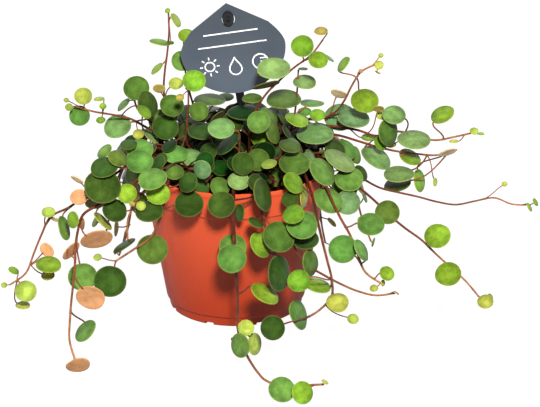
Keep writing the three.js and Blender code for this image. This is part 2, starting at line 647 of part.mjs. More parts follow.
// Points along a rod, none more than 1.2 mm apart
function along(from, to) {
  const count = Math.max(1, Math.ceil(from.distanceTo(to) / 1.2));
  return Array.from({ length: count + 1 }, (_, i) => from.clone().lerp(to, i / count));
}

function bladeIsClear(blade, stem) {
  const points = spread(blade);
  if (points.some(([point, half]) => toGround(point) < seatGap + half)) {
    return false;
  }
  for (const other of blades) {
    if (other.centre.distanceTo(blade.centre) < other.radius + blade.radius + 2) {
      const near = points.some(([point, half]) => toBlade(point, other) < half + 2 * seatGap)
        || other.points.some(([point, half]) => toBlade(point, blade) < half + 2 * seatGap);
      if (near) {
        return false;
      }
    }
  }
  for (const rod of rods) {
    const room = rod.thick + (rod.stem === stem ? 0.15 : seatGap + 0.1);
    const spare = rod.stem === stem ? jointSpare : 0;
    if (rod.middle.distanceTo(blade.centre) < blade.radius + rod.half + 3) {
      const near = (point) => point.distanceTo(blade.joint) > spare && toBlade(point, blade) < room;
      if (along(rod.from, rod.to).some(near)) {
        return false;
      }
    }
  }
  return true;
}

function rodIsClear(from, to, thick, stem) {
  const points = along(from, to);
  if (points.some((point) => toGround(point) < thick + seatGap)) {
    return false;
  }
  for (const blade of blades) {
    if (blade.centre.distanceTo(from) < blade.radius + from.distanceTo(to) + 3) {
      if (points.some((point) => toBlade(point, blade) < thick + seatGap + 0.1)) {
        return false;
      }
    }
  }
  return rods.every((rod) => rod.stem === stem
    || rod.middle.distanceTo(from) > rod.half + from.distanceTo(to) + 4
    || points.every((point) => toRod(point, rod.from, rod.to) > thick + rod.thick + seatGap));
}

function addRod(from, to, thick, stem) {
  rods.push({
    stem, from, to, thick, middle: from.clone().lerp(to, 0.5), half: from.distanceTo(to) / 2,
  });
}

function addRods(rings, thick, stem) {
  for (let i = 0; i + 1 < rings.length; i += 1) {
    addRod(rings[i], rings[i + 1], thick, stem);
  }
}

// A leaf from its joint on the stem, the middle of its blade, its radius and the way it faces
function layLeaf(joint, centre, radius, facing) {
  const normal = facing.clone().normalize();
  const along = centre.clone().sub(joint);
  along.addScaledVector(normal, -along.dot(normal));
  if (along.length() < 0.5) {
    along.set(0, 0, -1).addScaledVector(normal, normal.z);
  }
  along.normalize();
  const across = normal.clone().cross(along);
  const base = centre.clone().addScaledVector(along, -radius);
  const blade = { centre, normal, along, across, radius, joint, base };
  blade.half = Math.max(leafRise, leafDrop) * Math.min(1, 0.45 + radius / 12);
  blade.points = spread(blade);
  return blade;
}

// A leaf is kept where its blade and stalk are clear of all that already grows
function tryLeaf(leaf, stem) {
  const stalk = leaf.base.distanceTo(leaf.joint);
  if (stalk < shortestStalk || !bladeIsClear(leaf, stem)) {
    return false;
  }
  if (!rodIsClear(leaf.joint, leaf.base, stalkWidth / 2, stem)) {
    return false;
  }
  addRod(leaf.joint, leaf.base, stalkWidth / 2, stem);
  blades.push(leaf);
  return true;
}

// A small turn of a direction, drawn for this leaf and try
function waver(direction, amount, ...keys) {
  const turned = direction.clone().normalize();
  turned.x += amount * (2 * draw(...keys, 1) - 1);
  turned.y += amount * (2 * draw(...keys, 2) - 1);
  turned.z += amount * (2 * draw(...keys, 3) - 1);
  return turned.normalize();
}

function nearest(joints, point) {
  let best = 0;
  joints.forEach((joint, i) => {
    if (joint.distanceTo(point) < joints[best].distanceTo(point)) {
      best = i;
    }
  });
  return best;
}

// The way a face points when it turns from the viewer toward an hour by so many degrees
function faceToward(hour, degrees) {
  const turn = (hour / 12) * 2 * Math.PI;
  const tip = THREE.MathUtils.degToRad(degrees);
  const aside = new THREE.Vector3(Math.sin(turn), 0, 0).addScaledVector(viewerUp, Math.cos(turn));
  return towardViewer.clone().multiplyScalar(Math.cos(tip)).addScaledVector(aside, Math.sin(tip));
}

// A given leaf slides along the sight line to the first place where it fits, on the joint nearest
// to its point or on one beside it
function placeLeaf(stem, [at, hour, reach, near, radius, lean, tilt], index) {
  const from = new THREE.Vector3(...stem.points[at]);
  const turn = (hour / 12) * 2 * Math.PI;
  const aim = new THREE.Vector3(reach * Math.sin(turn), 0, reach * Math.cos(turn)).add(from);
  const first = nearest(stem.joints, from);
  for (let k = 0; k < tries; k += 1) {
    const facing = waver(faceToward(lean, tilt), 0.02 + 0.02 * k, stem.number, index, k);
    const centre = aim.clone().addScaledVector(towardViewer, near + slides[k]);
    for (const i of [first, first + 1, first - 1]) {
      const joint = stem.joints[i];
      const leaf = joint && layLeaf(joint, centre, radius * (1 - 0.012 * k), facing);
      if (leaf && tryLeaf(leaf, stem.number)) {
        stem.leaves.push(leaf);
        stem.used.add(joint);
        givenLeaves.push(leaf);
        return;
      }
    }
  }
}

function hidesGiven(leaf) {
  return givenLeaves.some(({ centre, radius }) => {
    const offset = leaf.centre.clone().sub(centre);
    const nearer = offset.dot(towardViewer);
    const aside = offset.addScaledVector(towardViewer, -nearer).length();
    return nearer > 0 && aside < hidingShare * (radius + leaf.radius);
  });
}

// Leaves by rule at a ring of a stem: they turn round it by the golden angle and face up and out
function growLeaf(stem, index, side, radius, lift) {
  const joint = stem.joints[index];
  const outward = Math.atan2(joint.y, joint.x);
  for (let k = 0; k < tries; k += 1) {
    const keys = [stem.number, 100 + index, 50 * side + k];
    const aim = index * goldenTurn + stem.number + side * Math.PI;
    const turn = aim + (draw(...keys, 4) - 0.5) * (1 + 0.4 * k);
    const stalk = 3 + 7 * draw(...keys, 5);
    const size = radius * (0.8 + 0.4 * draw(...keys, 6)) * (1 - 0.02 * k);
    const rise = lift + 0.5 * (draw(...keys, 7) - 0.5);
    const facing = new THREE.Vector3(
      Math.cos(rise) * Math.cos(outward),
      Math.cos(rise) * Math.sin(outward) - lightPull,
      Math.sin(rise),
    );
    const normal = waver(facing, 0.3, ...keys);
    const away = new THREE.Vector3(Math.cos(turn), Math.sin(turn), 0.2);
    away.addScaledVector(normal, -away.dot(normal)).normalize();
    const centre = joint.clone()
      .addScaledVector(away, stalk + size)
      .addScaledVector(normal, 1 + stalk / 3);
    const leaf = layLeaf(joint, centre, size, normal);
    if (inDome(leaf) && !hidesGiven(leaf) && tryLeaf(leaf, stem.number)) {
      stem.leaves.push(leaf);
      return true;
    }
  }
  return false;
}

// Leaves by rule keep to the dome of the crown, and leave the label free
function inDome(leaf) {
  const { x, y, z } = leaf.centre;
  const dome = crownDomeHeight - crownDomeDrop * (x * x + y * y);
  const beforeLabel = y < labelCentre.y + 6 && z > labelCentre.z - labelBottom - 6;
  return z < dome && !(beforeLabel && Math.abs(x) < labelHalfWidth + 4);
}

// A stem takes its place if it is clear of the stems before it
function addStem(name, root, route, thick, fill) {
  const rings = stemRoute(root, route, fill);
  const number = stems.length;
  const joints = rings.slice(1).map((ring, i) => ring.clone().lerp(rings[i], 0.5));
  joints.push(rings[rings.length - 1]);
  const stem = { name, number, root, points: route, rings, joints, thick, fill };
  stems.push({ ...stem, leaves: [], used: new Set() });
  addRods(rings, thick, number);
}

function stemIsClear(root, route, thick, fill) {
  const inPeat = ({ x, y, z }) => z < soilTop + 4 && Math.hypot(x, y) < potTopRadius;
  const rings = stemRoute(root, route, fill).filter((ring) => !inPeat(ring));
  return rings.every((ring, i) => i === 0 || rodIsClear(rings[i - 1], ring, thick, -1));
}

function rootIsFree([x, y]) {
  const toStake = Math.hypot(x - stakeRoot.x, y - stakeRoot.y);
  const toStems = stems.map(({ root }) => Math.hypot(x - root[0], y - root[1]));
  return toStake > rootSpacing + 1 && Math.min(...toStems) > rootSpacing;
}

// Crown stems stand on a spiral over the peat and lean outward under the dome
function growCrownStems() {
  for (let i = 0; i < crownStems; i += 1) {
    for (let k = 0; k < 60; k += 1) {
      const keys = [500 + i, k];
      const reach = 5 + 32 * Math.sqrt((i + draw(...keys, 1)) / crownStems);
      const turn = i * goldenTurn + (draw(...keys, 2) - 0.5) * (0.6 + 0.1 * k);
      const root = [reach * Math.cos(turn), reach * Math.sin(turn)];
      const out = 1.25 + 0.25 * draw(...keys, 3);
      const top = crownDomeHeight - crownDomeDrop * (reach * out) ** 2 - 8 - 9 * draw(...keys, 4);
      const bend = turn + 0.5 * (draw(...keys, 5) - 0.5);
      const tip = reach * out + 5 + 7 * draw(...keys, 6);
      const route = [
        [root[0] * 1.12, root[1] * 1.12, 90],
        [0.8 * tip * Math.cos(bend), 0.8 * tip * Math.sin(bend), 0.45 * 90 + 0.55 * top],
        [tip * Math.cos(bend), tip * Math.sin(bend), top],
      ];
      if (rootIsFree(root) && stemIsClear(root, route, crownStemThick, 'crown')) {
        addStem(`crown_${String(i + 1).padStart(2, '0')}`, root, route, crownStemThick, 'crown');
        break;
      }
    }
  }
}

// Back stems cross the rim, arch down and trail, each a little differently
function growBackStems() {
  for (let i = 0; i < backStems; i += 1) {
    for (let k = 0; k < 60; k += 1) {
      const keys = [700 + i, k];
      const share = i / (backStems - 1);
      const turn = backFrom + (backTo - backFrom) * share + 0.3 * (draw(...keys, 1) - 0.5);
      const reach = 27 + 8 * draw(...keys, 2);
      const root = [reach * Math.cos(turn), reach * Math.sin(turn)];
      const swing = turn + 0.5 * (draw(...keys, 3) - 0.5);
      const far = [46, 58, 66, 71, 74 + 6 * draw(...keys, 4)];
      const drop = backLengths[i] / 3.4;
      const high = 91 + 5 * draw(...keys, 5);
      const heights = [high, high - 5, high - 5 - drop, high - 5 - 2 * drop, high - 5 - 2.7 * drop];
      const route = far.map((distance, step) => {
        const at = turn + ((swing - turn) * step) / 4;
        return [distance * Math.cos(at), distance * Math.sin(at), Math.max(heights[step], 9)];
      });
      if (rootIsFree(root) && stemIsClear(root, route, backStemThick, 'back')) {
        addStem(`back_${String(i + 1).padStart(2, '0')}`, root, route, backStemThick, 'back');
        break;
      }
    }
  }
}

// Leaves by rule along a stem: over the crown on every stem, and to the tip on those at the back
function fillStem(stem) {
  const last = stem.joints.length - 1;
  for (let i = 1; i <= last; i += 1) {
    const { x, y, z } = stem.joints[i];
    const reach = Math.hypot(x, y);
    const inCrown = reach < fillRadius && z > fillHeight;
    const part = i / last;
    if (stem.fill === 'back' || (inCrown && !stem.used.has(stem.joints[i]))) {
      const taper = stem.fill === 'back' ? 1 - 0.6 * Math.max(0, part - 0.45) / 0.55 : 1;
      const [small, large] = crownLeafRadius;
      const radius = (small + (large - small) * draw(stem.number, i, 11)) * taper;
      const lift = z > 96 ? 1.0 : 0.55;
      growLeaf(stem, i, 0, radius, inCrown ? lift : 0.35);
      if (inCrown && z > secondLeafHeight) {
        growLeaf(stem, i, 1, 0.92 * radius, lift);
      }
    }
  }
}

// One leaf: a round blade, thickest at its middle, and a three-sided stalk rooted in the stem
function leafSolid(leaf) {
  const { joint, base, centre, along, across, normal, radius } = leaf;
  const place = [];
  const put = (point) => place.push(point.x, point.y, point.z) / 3 - 1;
  const half = stalkWidth / 2;
  const baseTurn = Math.asin(half / radius);
  const last = (radius < smallLeaf ? smallLeafRim : leafRim) - 1;
  for (let i = 0; i <= last; i += 1) {
    const turn = -Math.PI + baseTurn + (2 * (Math.PI - baseTurn) * i) / last;
    put(centre.clone()
      .addScaledVector(along, radius * Math.cos(turn))
      .addScaledVector(across, radius * Math.sin(turn)));
  }
  const scale = Math.min(1, 0.45 + radius / 12);
  const top = put(centre.clone().addScaledVector(normal, leafRise * scale));
  const bottom = put(centre.clone().addScaledVector(normal, -leafDrop * scale));
  const run = base.clone().sub(joint).normalize();
  const keelward = along.clone().multiplyScalar(run.dot(normal)).addScaledVector(normal, -run.dot(along));
  const keel = put(base.clone().addScaledVector(keelward, 0.8));
  const root = joint.clone().addScaledVector(keelward, -0.12);
  const left = put(root.clone().addScaledVector(across, 0.6 * half));
  const right = put(root.clone().addScaledVector(across, -0.6 * half));
  const low = put(root.clone().addScaledVector(keelward, 0.38));
  const faces = [];
  for (let i = 0; i < last; i += 1) {
    faces.push(top, i, i + 1, bottom, i + 1, i);
  }
  faces.push(top, last, 0, bottom, 0, keel, bottom, keel, last);
  faces.push(0, last, left, 0, left, right, keel, 0, right, keel, right, low);
  faces.push(last, keel, low, last, low, left, right, left, low);
  const geometry = new THREE.BufferGeometry();
  geometry.setAttribute('position', new THREE.Float32BufferAttribute(place, 3));
  geometry.setIndex(faces);
  return toSolid(geometry);
}

// A path with one ring at each of its points
class PointPath extends THREE.Curve {
  constructor(points) {
    super();
    this.points = points;
  }

  getUtoTmapping(u) {
    return u;
  }

  getPoint(t, target = new THREE.Vector3()) {
    const place = t * (this.points.length - 1);
    const index = Math.min(Math.floor(place), this.points.length - 2);
    return target.lerpVectors(this.points[index], this.points[index + 1], place - index);
  }
}

// A stem with all its leaves, as one grown piece
function stemSolid(stem) {
  const section = new THREE.Shape();
  const sides = stemSides[stem.fill];
  for (let i = 0; i < sides; i += 1) {
    const turn = (i / sides) * 2 * Math.PI;
    const point = [stem.thick * Math.cos(turn), stem.thick * Math.sin(turn)];
    if (i === 0) {
      section.moveTo(...point);
    } else {
      section.lineTo(...point);
    }
  }
  section.closePath();
  const extrudePath = new PointPath(stem.rings);
  const settings = { steps: stem.rings.length - 1, bevelEnabled: false, extrudePath };
  const tube = toSolid(new THREE.ExtrudeGeometry(section, settings));
  return stem.leaves.reduce((solid, leaf) => solid.add(leafSolid(leaf)), tube);
}

const stems = [];
const givenLeaves = [];
const stakeDrop = labelCentre.z - soilTop;
const stakeRoot = { x: labelCentre.x - stakeDrop * Math.tan(labelLean), y: labelCentre.y + 1.5 };

// The label and its stake are in the way of stems and leaves
const labelNormal = new THREE.Vector3(0, -1, 0);
const labelUp = new THREE.Vector3(Math.sin(labelLean), 0, Math.cos(labelLean));
const labelSide = new THREE.Vector3(Math.cos(labelLean), 0, -Math.sin(labelLean));
for (const [height, radius] of [[0, 29], [15, 17]]) {
  const blade = {
    centre: labelCentre.clone().addScaledVector(labelUp, height),
    normal: labelNormal,
    along: labelUp,
    across: labelSide,
    radius,
    half: 3,
  };
  blade.points = spread(blade);
  blades.push(blade);
}
addRod(
  labelCentre.clone().addScaledVector(labelUp, -20).setY(stakeRoot.y),
  new THREE.Vector3(stakeRoot.x, stakeRoot.y, soilTop - 20),
  2.8,
  -2,
);

for (const { name, root, route, thick } of vines) {
  addStem(name, root, route, thick, 'vine');
}
growCrownStems();
growBackStems();
vines.forEach(({ leaves }, i) => leaves.forEach((leaf, index) => placeLeaf(stems[i], leaf, index)));
stems.forEach(fillStem);

addPiece('pot', makePot(), potMaterial);
addPiece('soil', makeSoil(stems.map(({ root }) => root)), soilMaterial);
addPiece('label_plate', makeLabel(), labelMaterial);
addPiece('label_stake', makeStake(), stakeMaterial);
for (const stem of stems) {
  addPiece(`stem_${stem.name}`, stemSolid(stem), plantMaterial);
}

export default plant;
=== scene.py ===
# A potted trailing peperomia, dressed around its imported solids.
# Lengths are millimetres in the frame of the solids, and metres in meshes, materials and lamps.
import math

import bpy
import numpy as np
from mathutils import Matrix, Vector, noise

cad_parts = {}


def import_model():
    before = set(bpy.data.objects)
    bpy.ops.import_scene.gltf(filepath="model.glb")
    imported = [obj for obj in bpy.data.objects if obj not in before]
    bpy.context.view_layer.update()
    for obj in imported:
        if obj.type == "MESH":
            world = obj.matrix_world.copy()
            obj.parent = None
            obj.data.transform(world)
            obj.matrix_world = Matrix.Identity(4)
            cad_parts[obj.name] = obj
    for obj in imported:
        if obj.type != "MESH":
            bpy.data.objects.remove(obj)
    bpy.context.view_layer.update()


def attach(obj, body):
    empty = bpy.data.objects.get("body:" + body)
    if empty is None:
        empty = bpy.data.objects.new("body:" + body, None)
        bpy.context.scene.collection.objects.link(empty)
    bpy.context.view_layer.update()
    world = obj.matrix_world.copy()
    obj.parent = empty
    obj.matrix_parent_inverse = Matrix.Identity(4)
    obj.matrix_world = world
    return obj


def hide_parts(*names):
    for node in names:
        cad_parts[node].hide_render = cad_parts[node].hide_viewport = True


MM = 0.001
SHARP_ANGLE = math.radians(40)
FULL_TURN = 2 * math.pi
GOLDEN_TURN = math.radians(137.508)

# Pot
POT_HEIGHT = 84
POT_TOP_RADIUS = 52.5
POT_BASE_RADIUS = 37.6
POT_WALL = 1.3
POT_FLOOR = 1.6
POT_SLOPE = 0.172
POT_FOOT_HEIGHT = 6
POT_BODY_FOOT_RADIUS = 39.2
RIM_BAND_HEIGHT = 15.5
RIM_BAND_STEP = 1.1
POT_SIDES = 160
DRAIN_HOLES = 8
DRAIN_HOLE_RADIUS = 3
DRAIN_HOLE_RING = 27
DRAIN_SLOT = (7, 5, 2.4)
DRAIN_SIDES = 24

# Peat
SOIL_TOP = 74
SOIL_BUMP = 1.1
SOIL_CRUMB = 0.9
SOIL_GRIT = 0.5
SOIL_GAP = 0.35
SOIL_FOOT = (2.2, 3)
SOIL_SHOULDER = 4
SOIL_RINGS = 64
SOIL_SIDES = 144

# Label and its stake, which lean together to the left
LABEL_LEAN = math.radians(-8)
LABEL_CENTRE = (-1, 5, 148)
LABEL_THICKNESS = 0.8
LABEL_HALF_WIDTH = 29
LABEL_APEX_HEIGHT = 26.2
LABEL_SHOULDER = (21.3, 12.9)
LABEL_BOTTOM = 25.6
LABEL_EDGE = 0.22
LABEL_HOLE_HEIGHT = 17
LABEL_HOLE_RADIUS = 3.6
STAKE_WIDTH = 4.7
STAKE_THICKNESS = 1.5
STAKE_FOOT = 38
STAKE_POINT = 9
STAKE_EDGE = 0.3
STAKE_OVER_HOLE = 2
STAKE_BEHIND = 0.3
PEG_SIDES = 40

# Marks on the label, from its centre: line widths, and how deep and high they stand on its face
MARK_WIDTH = 0.7
THIN_MARK_WIDTH = 0.6
MARK_DEEP = 0.1
MARK_HIGH = 0.06
RULED_LINES = ((9.5, 15), (2.5, 19))
SUN = (-14, -8.5)
SUN_RADIUS = 2.6
SUN_RAYS = 8
SUN_RAY = (3.8, 4.6, 5.4)
SUN_RAY_WIDTH = 0.65
DROP = (0, -10)
DROP_TOP = 5.2
DROP_RADIUS = 3.4
DROP_MIDDLE = -1.4
SHADE = (14, -9)
SHADE_RADIUS = 4.2
SHADE_LINES = (-1.8, 0, 1.8)
SHADE_LINE_REACH = 4

# Stems: how they stand in the peat, and the ring and point spacing along them
STEM_STANDS = (-7, 2.5, 6)
RING_STEP = {"vine": 11, "crown": 11, "back": 14.5}
DENSE_PER_SPAN = 12
ROD_STEP = 1.2

# Leaves: half a full blade's thickness, the share of that which the least leaf has, and the radius
# that adds a whole share. Where a blade's middle is nearer to its joint than the least line, the
# blade hangs down.
LEAF_HALF = 1.0
SMALL_LEAF = 0.45
FULL_LEAF = 12
STALK_WIDTH = 0.9
SHORTEST_STALK = 1.8
LEAST_LINE = 0.5

# Clearances: between pieces, for rods, from a leaf to its own stem, which it may touch near its
# joint, and at the pot's wall, which reaches out by its rim band
SEAT_GAP = 0.35
ROD_SPARE = 0.1
OWN_STEM_ROOM = 0.15
JOINT_SPARE = 3
WALL_SHIFT = 0.4
WALL_SPARE = 0.5

# How far beyond touching a test looks for its neighbours, the points that stand for a blade, of
# which the first are on its rim, and room for all that grows
BLADES_LOOK = 2
BLADE_ROD_LOOK = 3
RODS_LOOK = 4
RIM_SAMPLES = 16
SAMPLES = 24
MOST_BLADES = 900
MOST_RODS = 2400

# Discs on the label, by height and radius, and a rod along its stake, as the tests see them, and
# the stem numbers of what is no stem or not yet one
LABEL_BLOCKS = ((0, 29), (15, 17))
LABEL_BLOCK_HALF = 3
STAKE_ROOM = 2.8
STAKE_REACH = 20
STAKE_BACK = 1.5
NEW_STEM = -1
STAKE_STEM = -2

# Tries for a place, and how a given leaf slides along the sight line, turns and shrinks in them
TRIES = 16
STEM_TRIES = 60
SLIDES = (0, 2, -2, 4, -4, 6, -6, 9, -9, 12, -12, 15, -15, 19, -19, 24)
GIVEN_WAVER = 0.02
GIVEN_SHRINK = 0.012

# The line from the plant to the viewer, and upward across it
TOWARD_VIEWER = np.array((0, -0.934, 0.358))
VIEWER_UP = np.array((0, 0.358, 0.934))

# Short stems that fill the crown by rule. A pair is a least value and what a draw adds to it, or
# for a sway what each try adds. The knee has its share of the tip's reach, and its height is so
# much of the rise and so much of the top.
CROWN_STEMS = 14
CROWN_ROOTS = (5, 32)
CROWN_SWAY = (0.6, 0.1)
CROWN_OUT = (1.25, 0.25)
CROWN_TIP = (5, 7)
CROWN_LEAN = 1.12
CROWN_RISE = 90
CROWN_KNEE = (0.8, 0.45, 0.55)
CROWN_DOME_HEIGHT = 116
CROWN_DOME_DROP = 0.0065
BELOW_DOME = (8, 9)
CROWN_DRAWS = 500

# Stems that trail over the back and sides by rule. Each drops by shares of its length.
BACK_STEMS = 7
BACK_FROM = math.radians(8)
BACK_TO = math.radians(172)
BACK_SWAY = 0.3
BACK_ROOTS = (27, 8)
BACK_DISTANCES = (46, 58, 66, 71)
BACK_END = (74, 6)
BACK_RISE = (91, 5)
BACK_STEP = 5
BACK_LENGTHS = (62, 94, 74, 100, 70, 96, 64)
BACK_DROPS = (0, 1, 2, 2.7)
BACK_DROP_SHARE = 3.4
LOWEST_POINT = 9
BACK_DRAWS = 700

# Stems by rule: their radius, the room between their roots, the height over the peat from which
# they are tested, and how far their way bends
RULE_STEM_THICK = 0.7
ROOT_SPACING = 3.9
STANDING_HEIGHT = 4
STEM_BEND = 0.5

# Leaves by rule: the smallest and largest radius in the crown, pairs as above for stalk, size and
# sway, how they face, how far they keep from the label beside it and around it, and where they
# grow
CROWN_LEAF_RADIUS = (6.4, 8.9)
RULE_STALK = (3, 7)
RULE_SIZE = (0.8, 0.4)
RULE_SHRINK = 0.02
RULE_SWAY = (1, 0.4)
RULE_WAVER = 0.3
RULE_TILT = 0.5
RULE_CLIMB = 0.2
RULE_DRAWS = 100
SIDE_DRAWS = 50
LIGHT_PULL = 0.35
HIGH_LIFT = 1.0
CROWN_LIFT = 0.55
BACK_LIFT = 0.35
HIGH_IN_CROWN = 96
HIDING_SHARE = 0.72
LABEL_ROOM = (4, 6)
FILL_RADIUS = 70
FILL_HEIGHT = 84
SECOND_LEAF_HEIGHT = 94
SECOND_LEAF_SIZE = 0.92
TAPER_FROM = 0.45
TAPER = 0.6
THICKET_RADIUS = 62
THICKET_HEIGHT = 77
THICKET_LEAVES = 3
THICKET_LEAF_SIZE = 0.9

# Fine leaves: points round the rim, rings from the middle to the rim, their share of thickness,
# how much of the solid's radius they fill, and how wide round the rim the tip and the notch reach
RIM_POINTS = 26
RING_REACH = (0.28, 0.52, 0.72, 0.87, 0.955, 0.99)
RING_THICK = (1.0, 0.98, 0.94, 0.86, 0.7, 0.42)
LEAF_THICKNESS = 1.1
LEAF_SPARE = 0.985
TIP_WIDTH = 0.4
NOTCH_WIDTH = 0.3

# Fine stems and leaf stalks: stems thin toward the tip and swell at the joints, by shares of their
# thickness, and stalks thin at their middle
FINE_PER_SPAN = 6
FINE_STEM_SIDES = 10
PETIOLE_RINGS = 9
PETIOLE_SIDES = 7
PETIOLE_RADIUS = 0.52
PETIOLE_WAIST = 0.3
PETIOLE_IN_BLADE = 1.1
PETIOLE_UNDER_BLADE = 0.25
PETIOLE_ALONG_STEM = 0.45
PETIOLE_BOWS = (0.4, 0.32, 0.1)
SMALL_PETIOLE = 0.55
FULL_PETIOLE = 16
STEM_FOOT = 1.25
STEM_NODE = 1.1
STEM_THINS = 0.5
NODE_SWELL = 0.4
NODE_LENGTH = 1.2
TUBE_END = 0.6
FIRST_ACROSS = (0.3, 0.9, 0.2)

# The crown's shade: it ends this far out, or this far under the dome's surface, and each kind of
# piece keeps a share of its colour in it
SHADE_FROM = 46
SHADE_SPAN = 30
SHADE_DEPTH = 14
SHADED_LEAF = 0.28
SHADED_STEM = 0.4
SHADED_STALK = 0.1

# Leaf colours by letter: upper side and underside
TONES = {
    "k": ((0.005, 0.029, 0.003), (0.076, 0.064, 0.023)),
    "d": ((0.024, 0.051, 0.007), (0.113, 0.094, 0.037)),
    "v": ((0.056, 0.096, 0.014), (0.183, 0.157, 0.037)),
    "g": ((0.071, 0.148, 0.025), (0.211, 0.183, 0.061)),
    "b": ((0.082, 0.160, 0.057), (0.226, 0.183, 0.094)),
    "p": ((0.117, 0.207, 0.056), (0.309, 0.241, 0.123)),
    "l": ((0.118, 0.214, 0.015), (0.291, 0.309, 0.069)),
    "y": ((0.230, 0.269, 0.041), (0.366, 0.366, 0.055)),
    # The copper underside is its own colour made much paler by painted light that stands for light
    # shining through the leaf
    "c": ((0.309, 0.157, 0.064), (0.880, 0.640, 0.390)),
    "r": ((0.200, 0.143, 0.027), (0.590, 0.286, 0.125)),
    "o": ((0.329, 0.250, 0.042), (0.329, 0.250, 0.060)),
}

# Leaves by rule draw a letter: the first whose limit the draw stays under
BY_RULE = "."
# In the crown the dark letters stand partly for old leaves and partly for painted shade
OLD_AND_SHADED_CROWN_TONES = (("k", 0.35), ("d", 0.75), ("b", 0.9), ("g", 1))
TIP_TONES = (("y", 0.5), ("l", 1))
YOUNG_TONES = (("l", 0.45), ("g", 1))
OLD_TONES = (("d", 0.2), ("b", 0.35), ("g", 0.85), ("l", 1))
BUD_RADIUS = 3.7
YOUNG_RADIUS = 6.5
CROWN_TONE_RADIUS = 60
CROWN_TONE_HEIGHT = 76
TIP_AGE = 0.85
YOUNG_AGE = 0.6

# How bright and how warm each leaf is, and how bright each stalk
LEAF_SHADES = (0.82, 0.36)
LEAF_WARMTH = 0.3
PETIOLE_SHADES = (0.8, 0.4)

# Stem colours from root to tip, the last only on tips that trail, and the span of the stalks'
STEM_COLOURS = ((0.075, 0.012, 0.006), (0.150, 0.038, 0.016), (0.320, 0.140, 0.050))
TIP_SHARE = 0.75
TRAILING_REACH = 75
PETIOLE_COLOURS = ((0.095, 0.019, 0.009), (0.225, 0.076, 0.032))

# Other colours, and the range that most of a noise fills
# The leaves' rim colour: partly their own paler margin, partly a painted edge highlight
RIM_AND_HIGHLIGHT_COLOUR = (0.42, 0.34, 0.08)
# The pot's pair: painted shade at its foot and painted light near its top
POT_SHADE_AND_LIGHT_COLOURS = ((0.30, 0.026, 0.005), (0.52, 0.066, 0.022))
POT_WORN = (0.55, 0.24, 0.16)
PEAT_COLOURS = ((0.010, 0.006, 0.004), (0.055, 0.032, 0.020))
PEAT_FIBRE = (0.16, 0.09, 0.045)
LABEL_COLOURS = ((0.056, 0.070, 0.088), (0.068, 0.083, 0.102))
MARK_COLOURS = ((0.80, 0.80, 0.80), (0.66, 0.67, 0.69))
STAKE_COLOURS = ((0.006, 0.006, 0.007), (0.022, 0.022, 0.025))
NOISE_SPAN = (0.3, 0.7)

# The photo's view: millimetres per pixel at the pot, how far the camera looks down, its distance,
# and the point that it looks at
VIEW_SCALE = 0.57
VIEW_DOWN = math.radians(21)
VIEW_DISTANCE = 1300
VIEW_CENTRE = (19.38, 19.71, 51.35)
IMAGE_WIDTH = 540
SENSOR_WIDTH = 36

# Light: the room and the floor as the plant sees them, the floor as the camera sees it, and the
# lamps, each with its place and size in metres and its watts
ROOM_LIGHT = 0.14
WALL_SHINE = 0.9
WALL_FROM = -0.1
WALL_TO = 0.45
FLOOR_LIGHT = 0.26
FLOOR_GLOW = 0.95
FLOOR_SHINE = 0.4
FLOOR_RADIUS = 4000
FLOOR_DROP = 0.6
FLOOR_SIDES = 96
LAMPS = {
    "key": ((0.12, -1.05, 0.87), 0.2, 37),
    "side": ((-1.3, -0.15, 0.5), 0.5, 10),
    "back": ((0.55, 1.2, 0.6), 0.6, 14),
}
LIT_POINT = (0, 0, 0.08)

# Draws: a start, two odd multipliers and the largest number that a word holds
HASH_START = 0x811C9DC5
HASH_STEP = 0x01000193
HASH_STIR = 0x5BD1E995
HASH_WORD = 0xFFFFFFFF
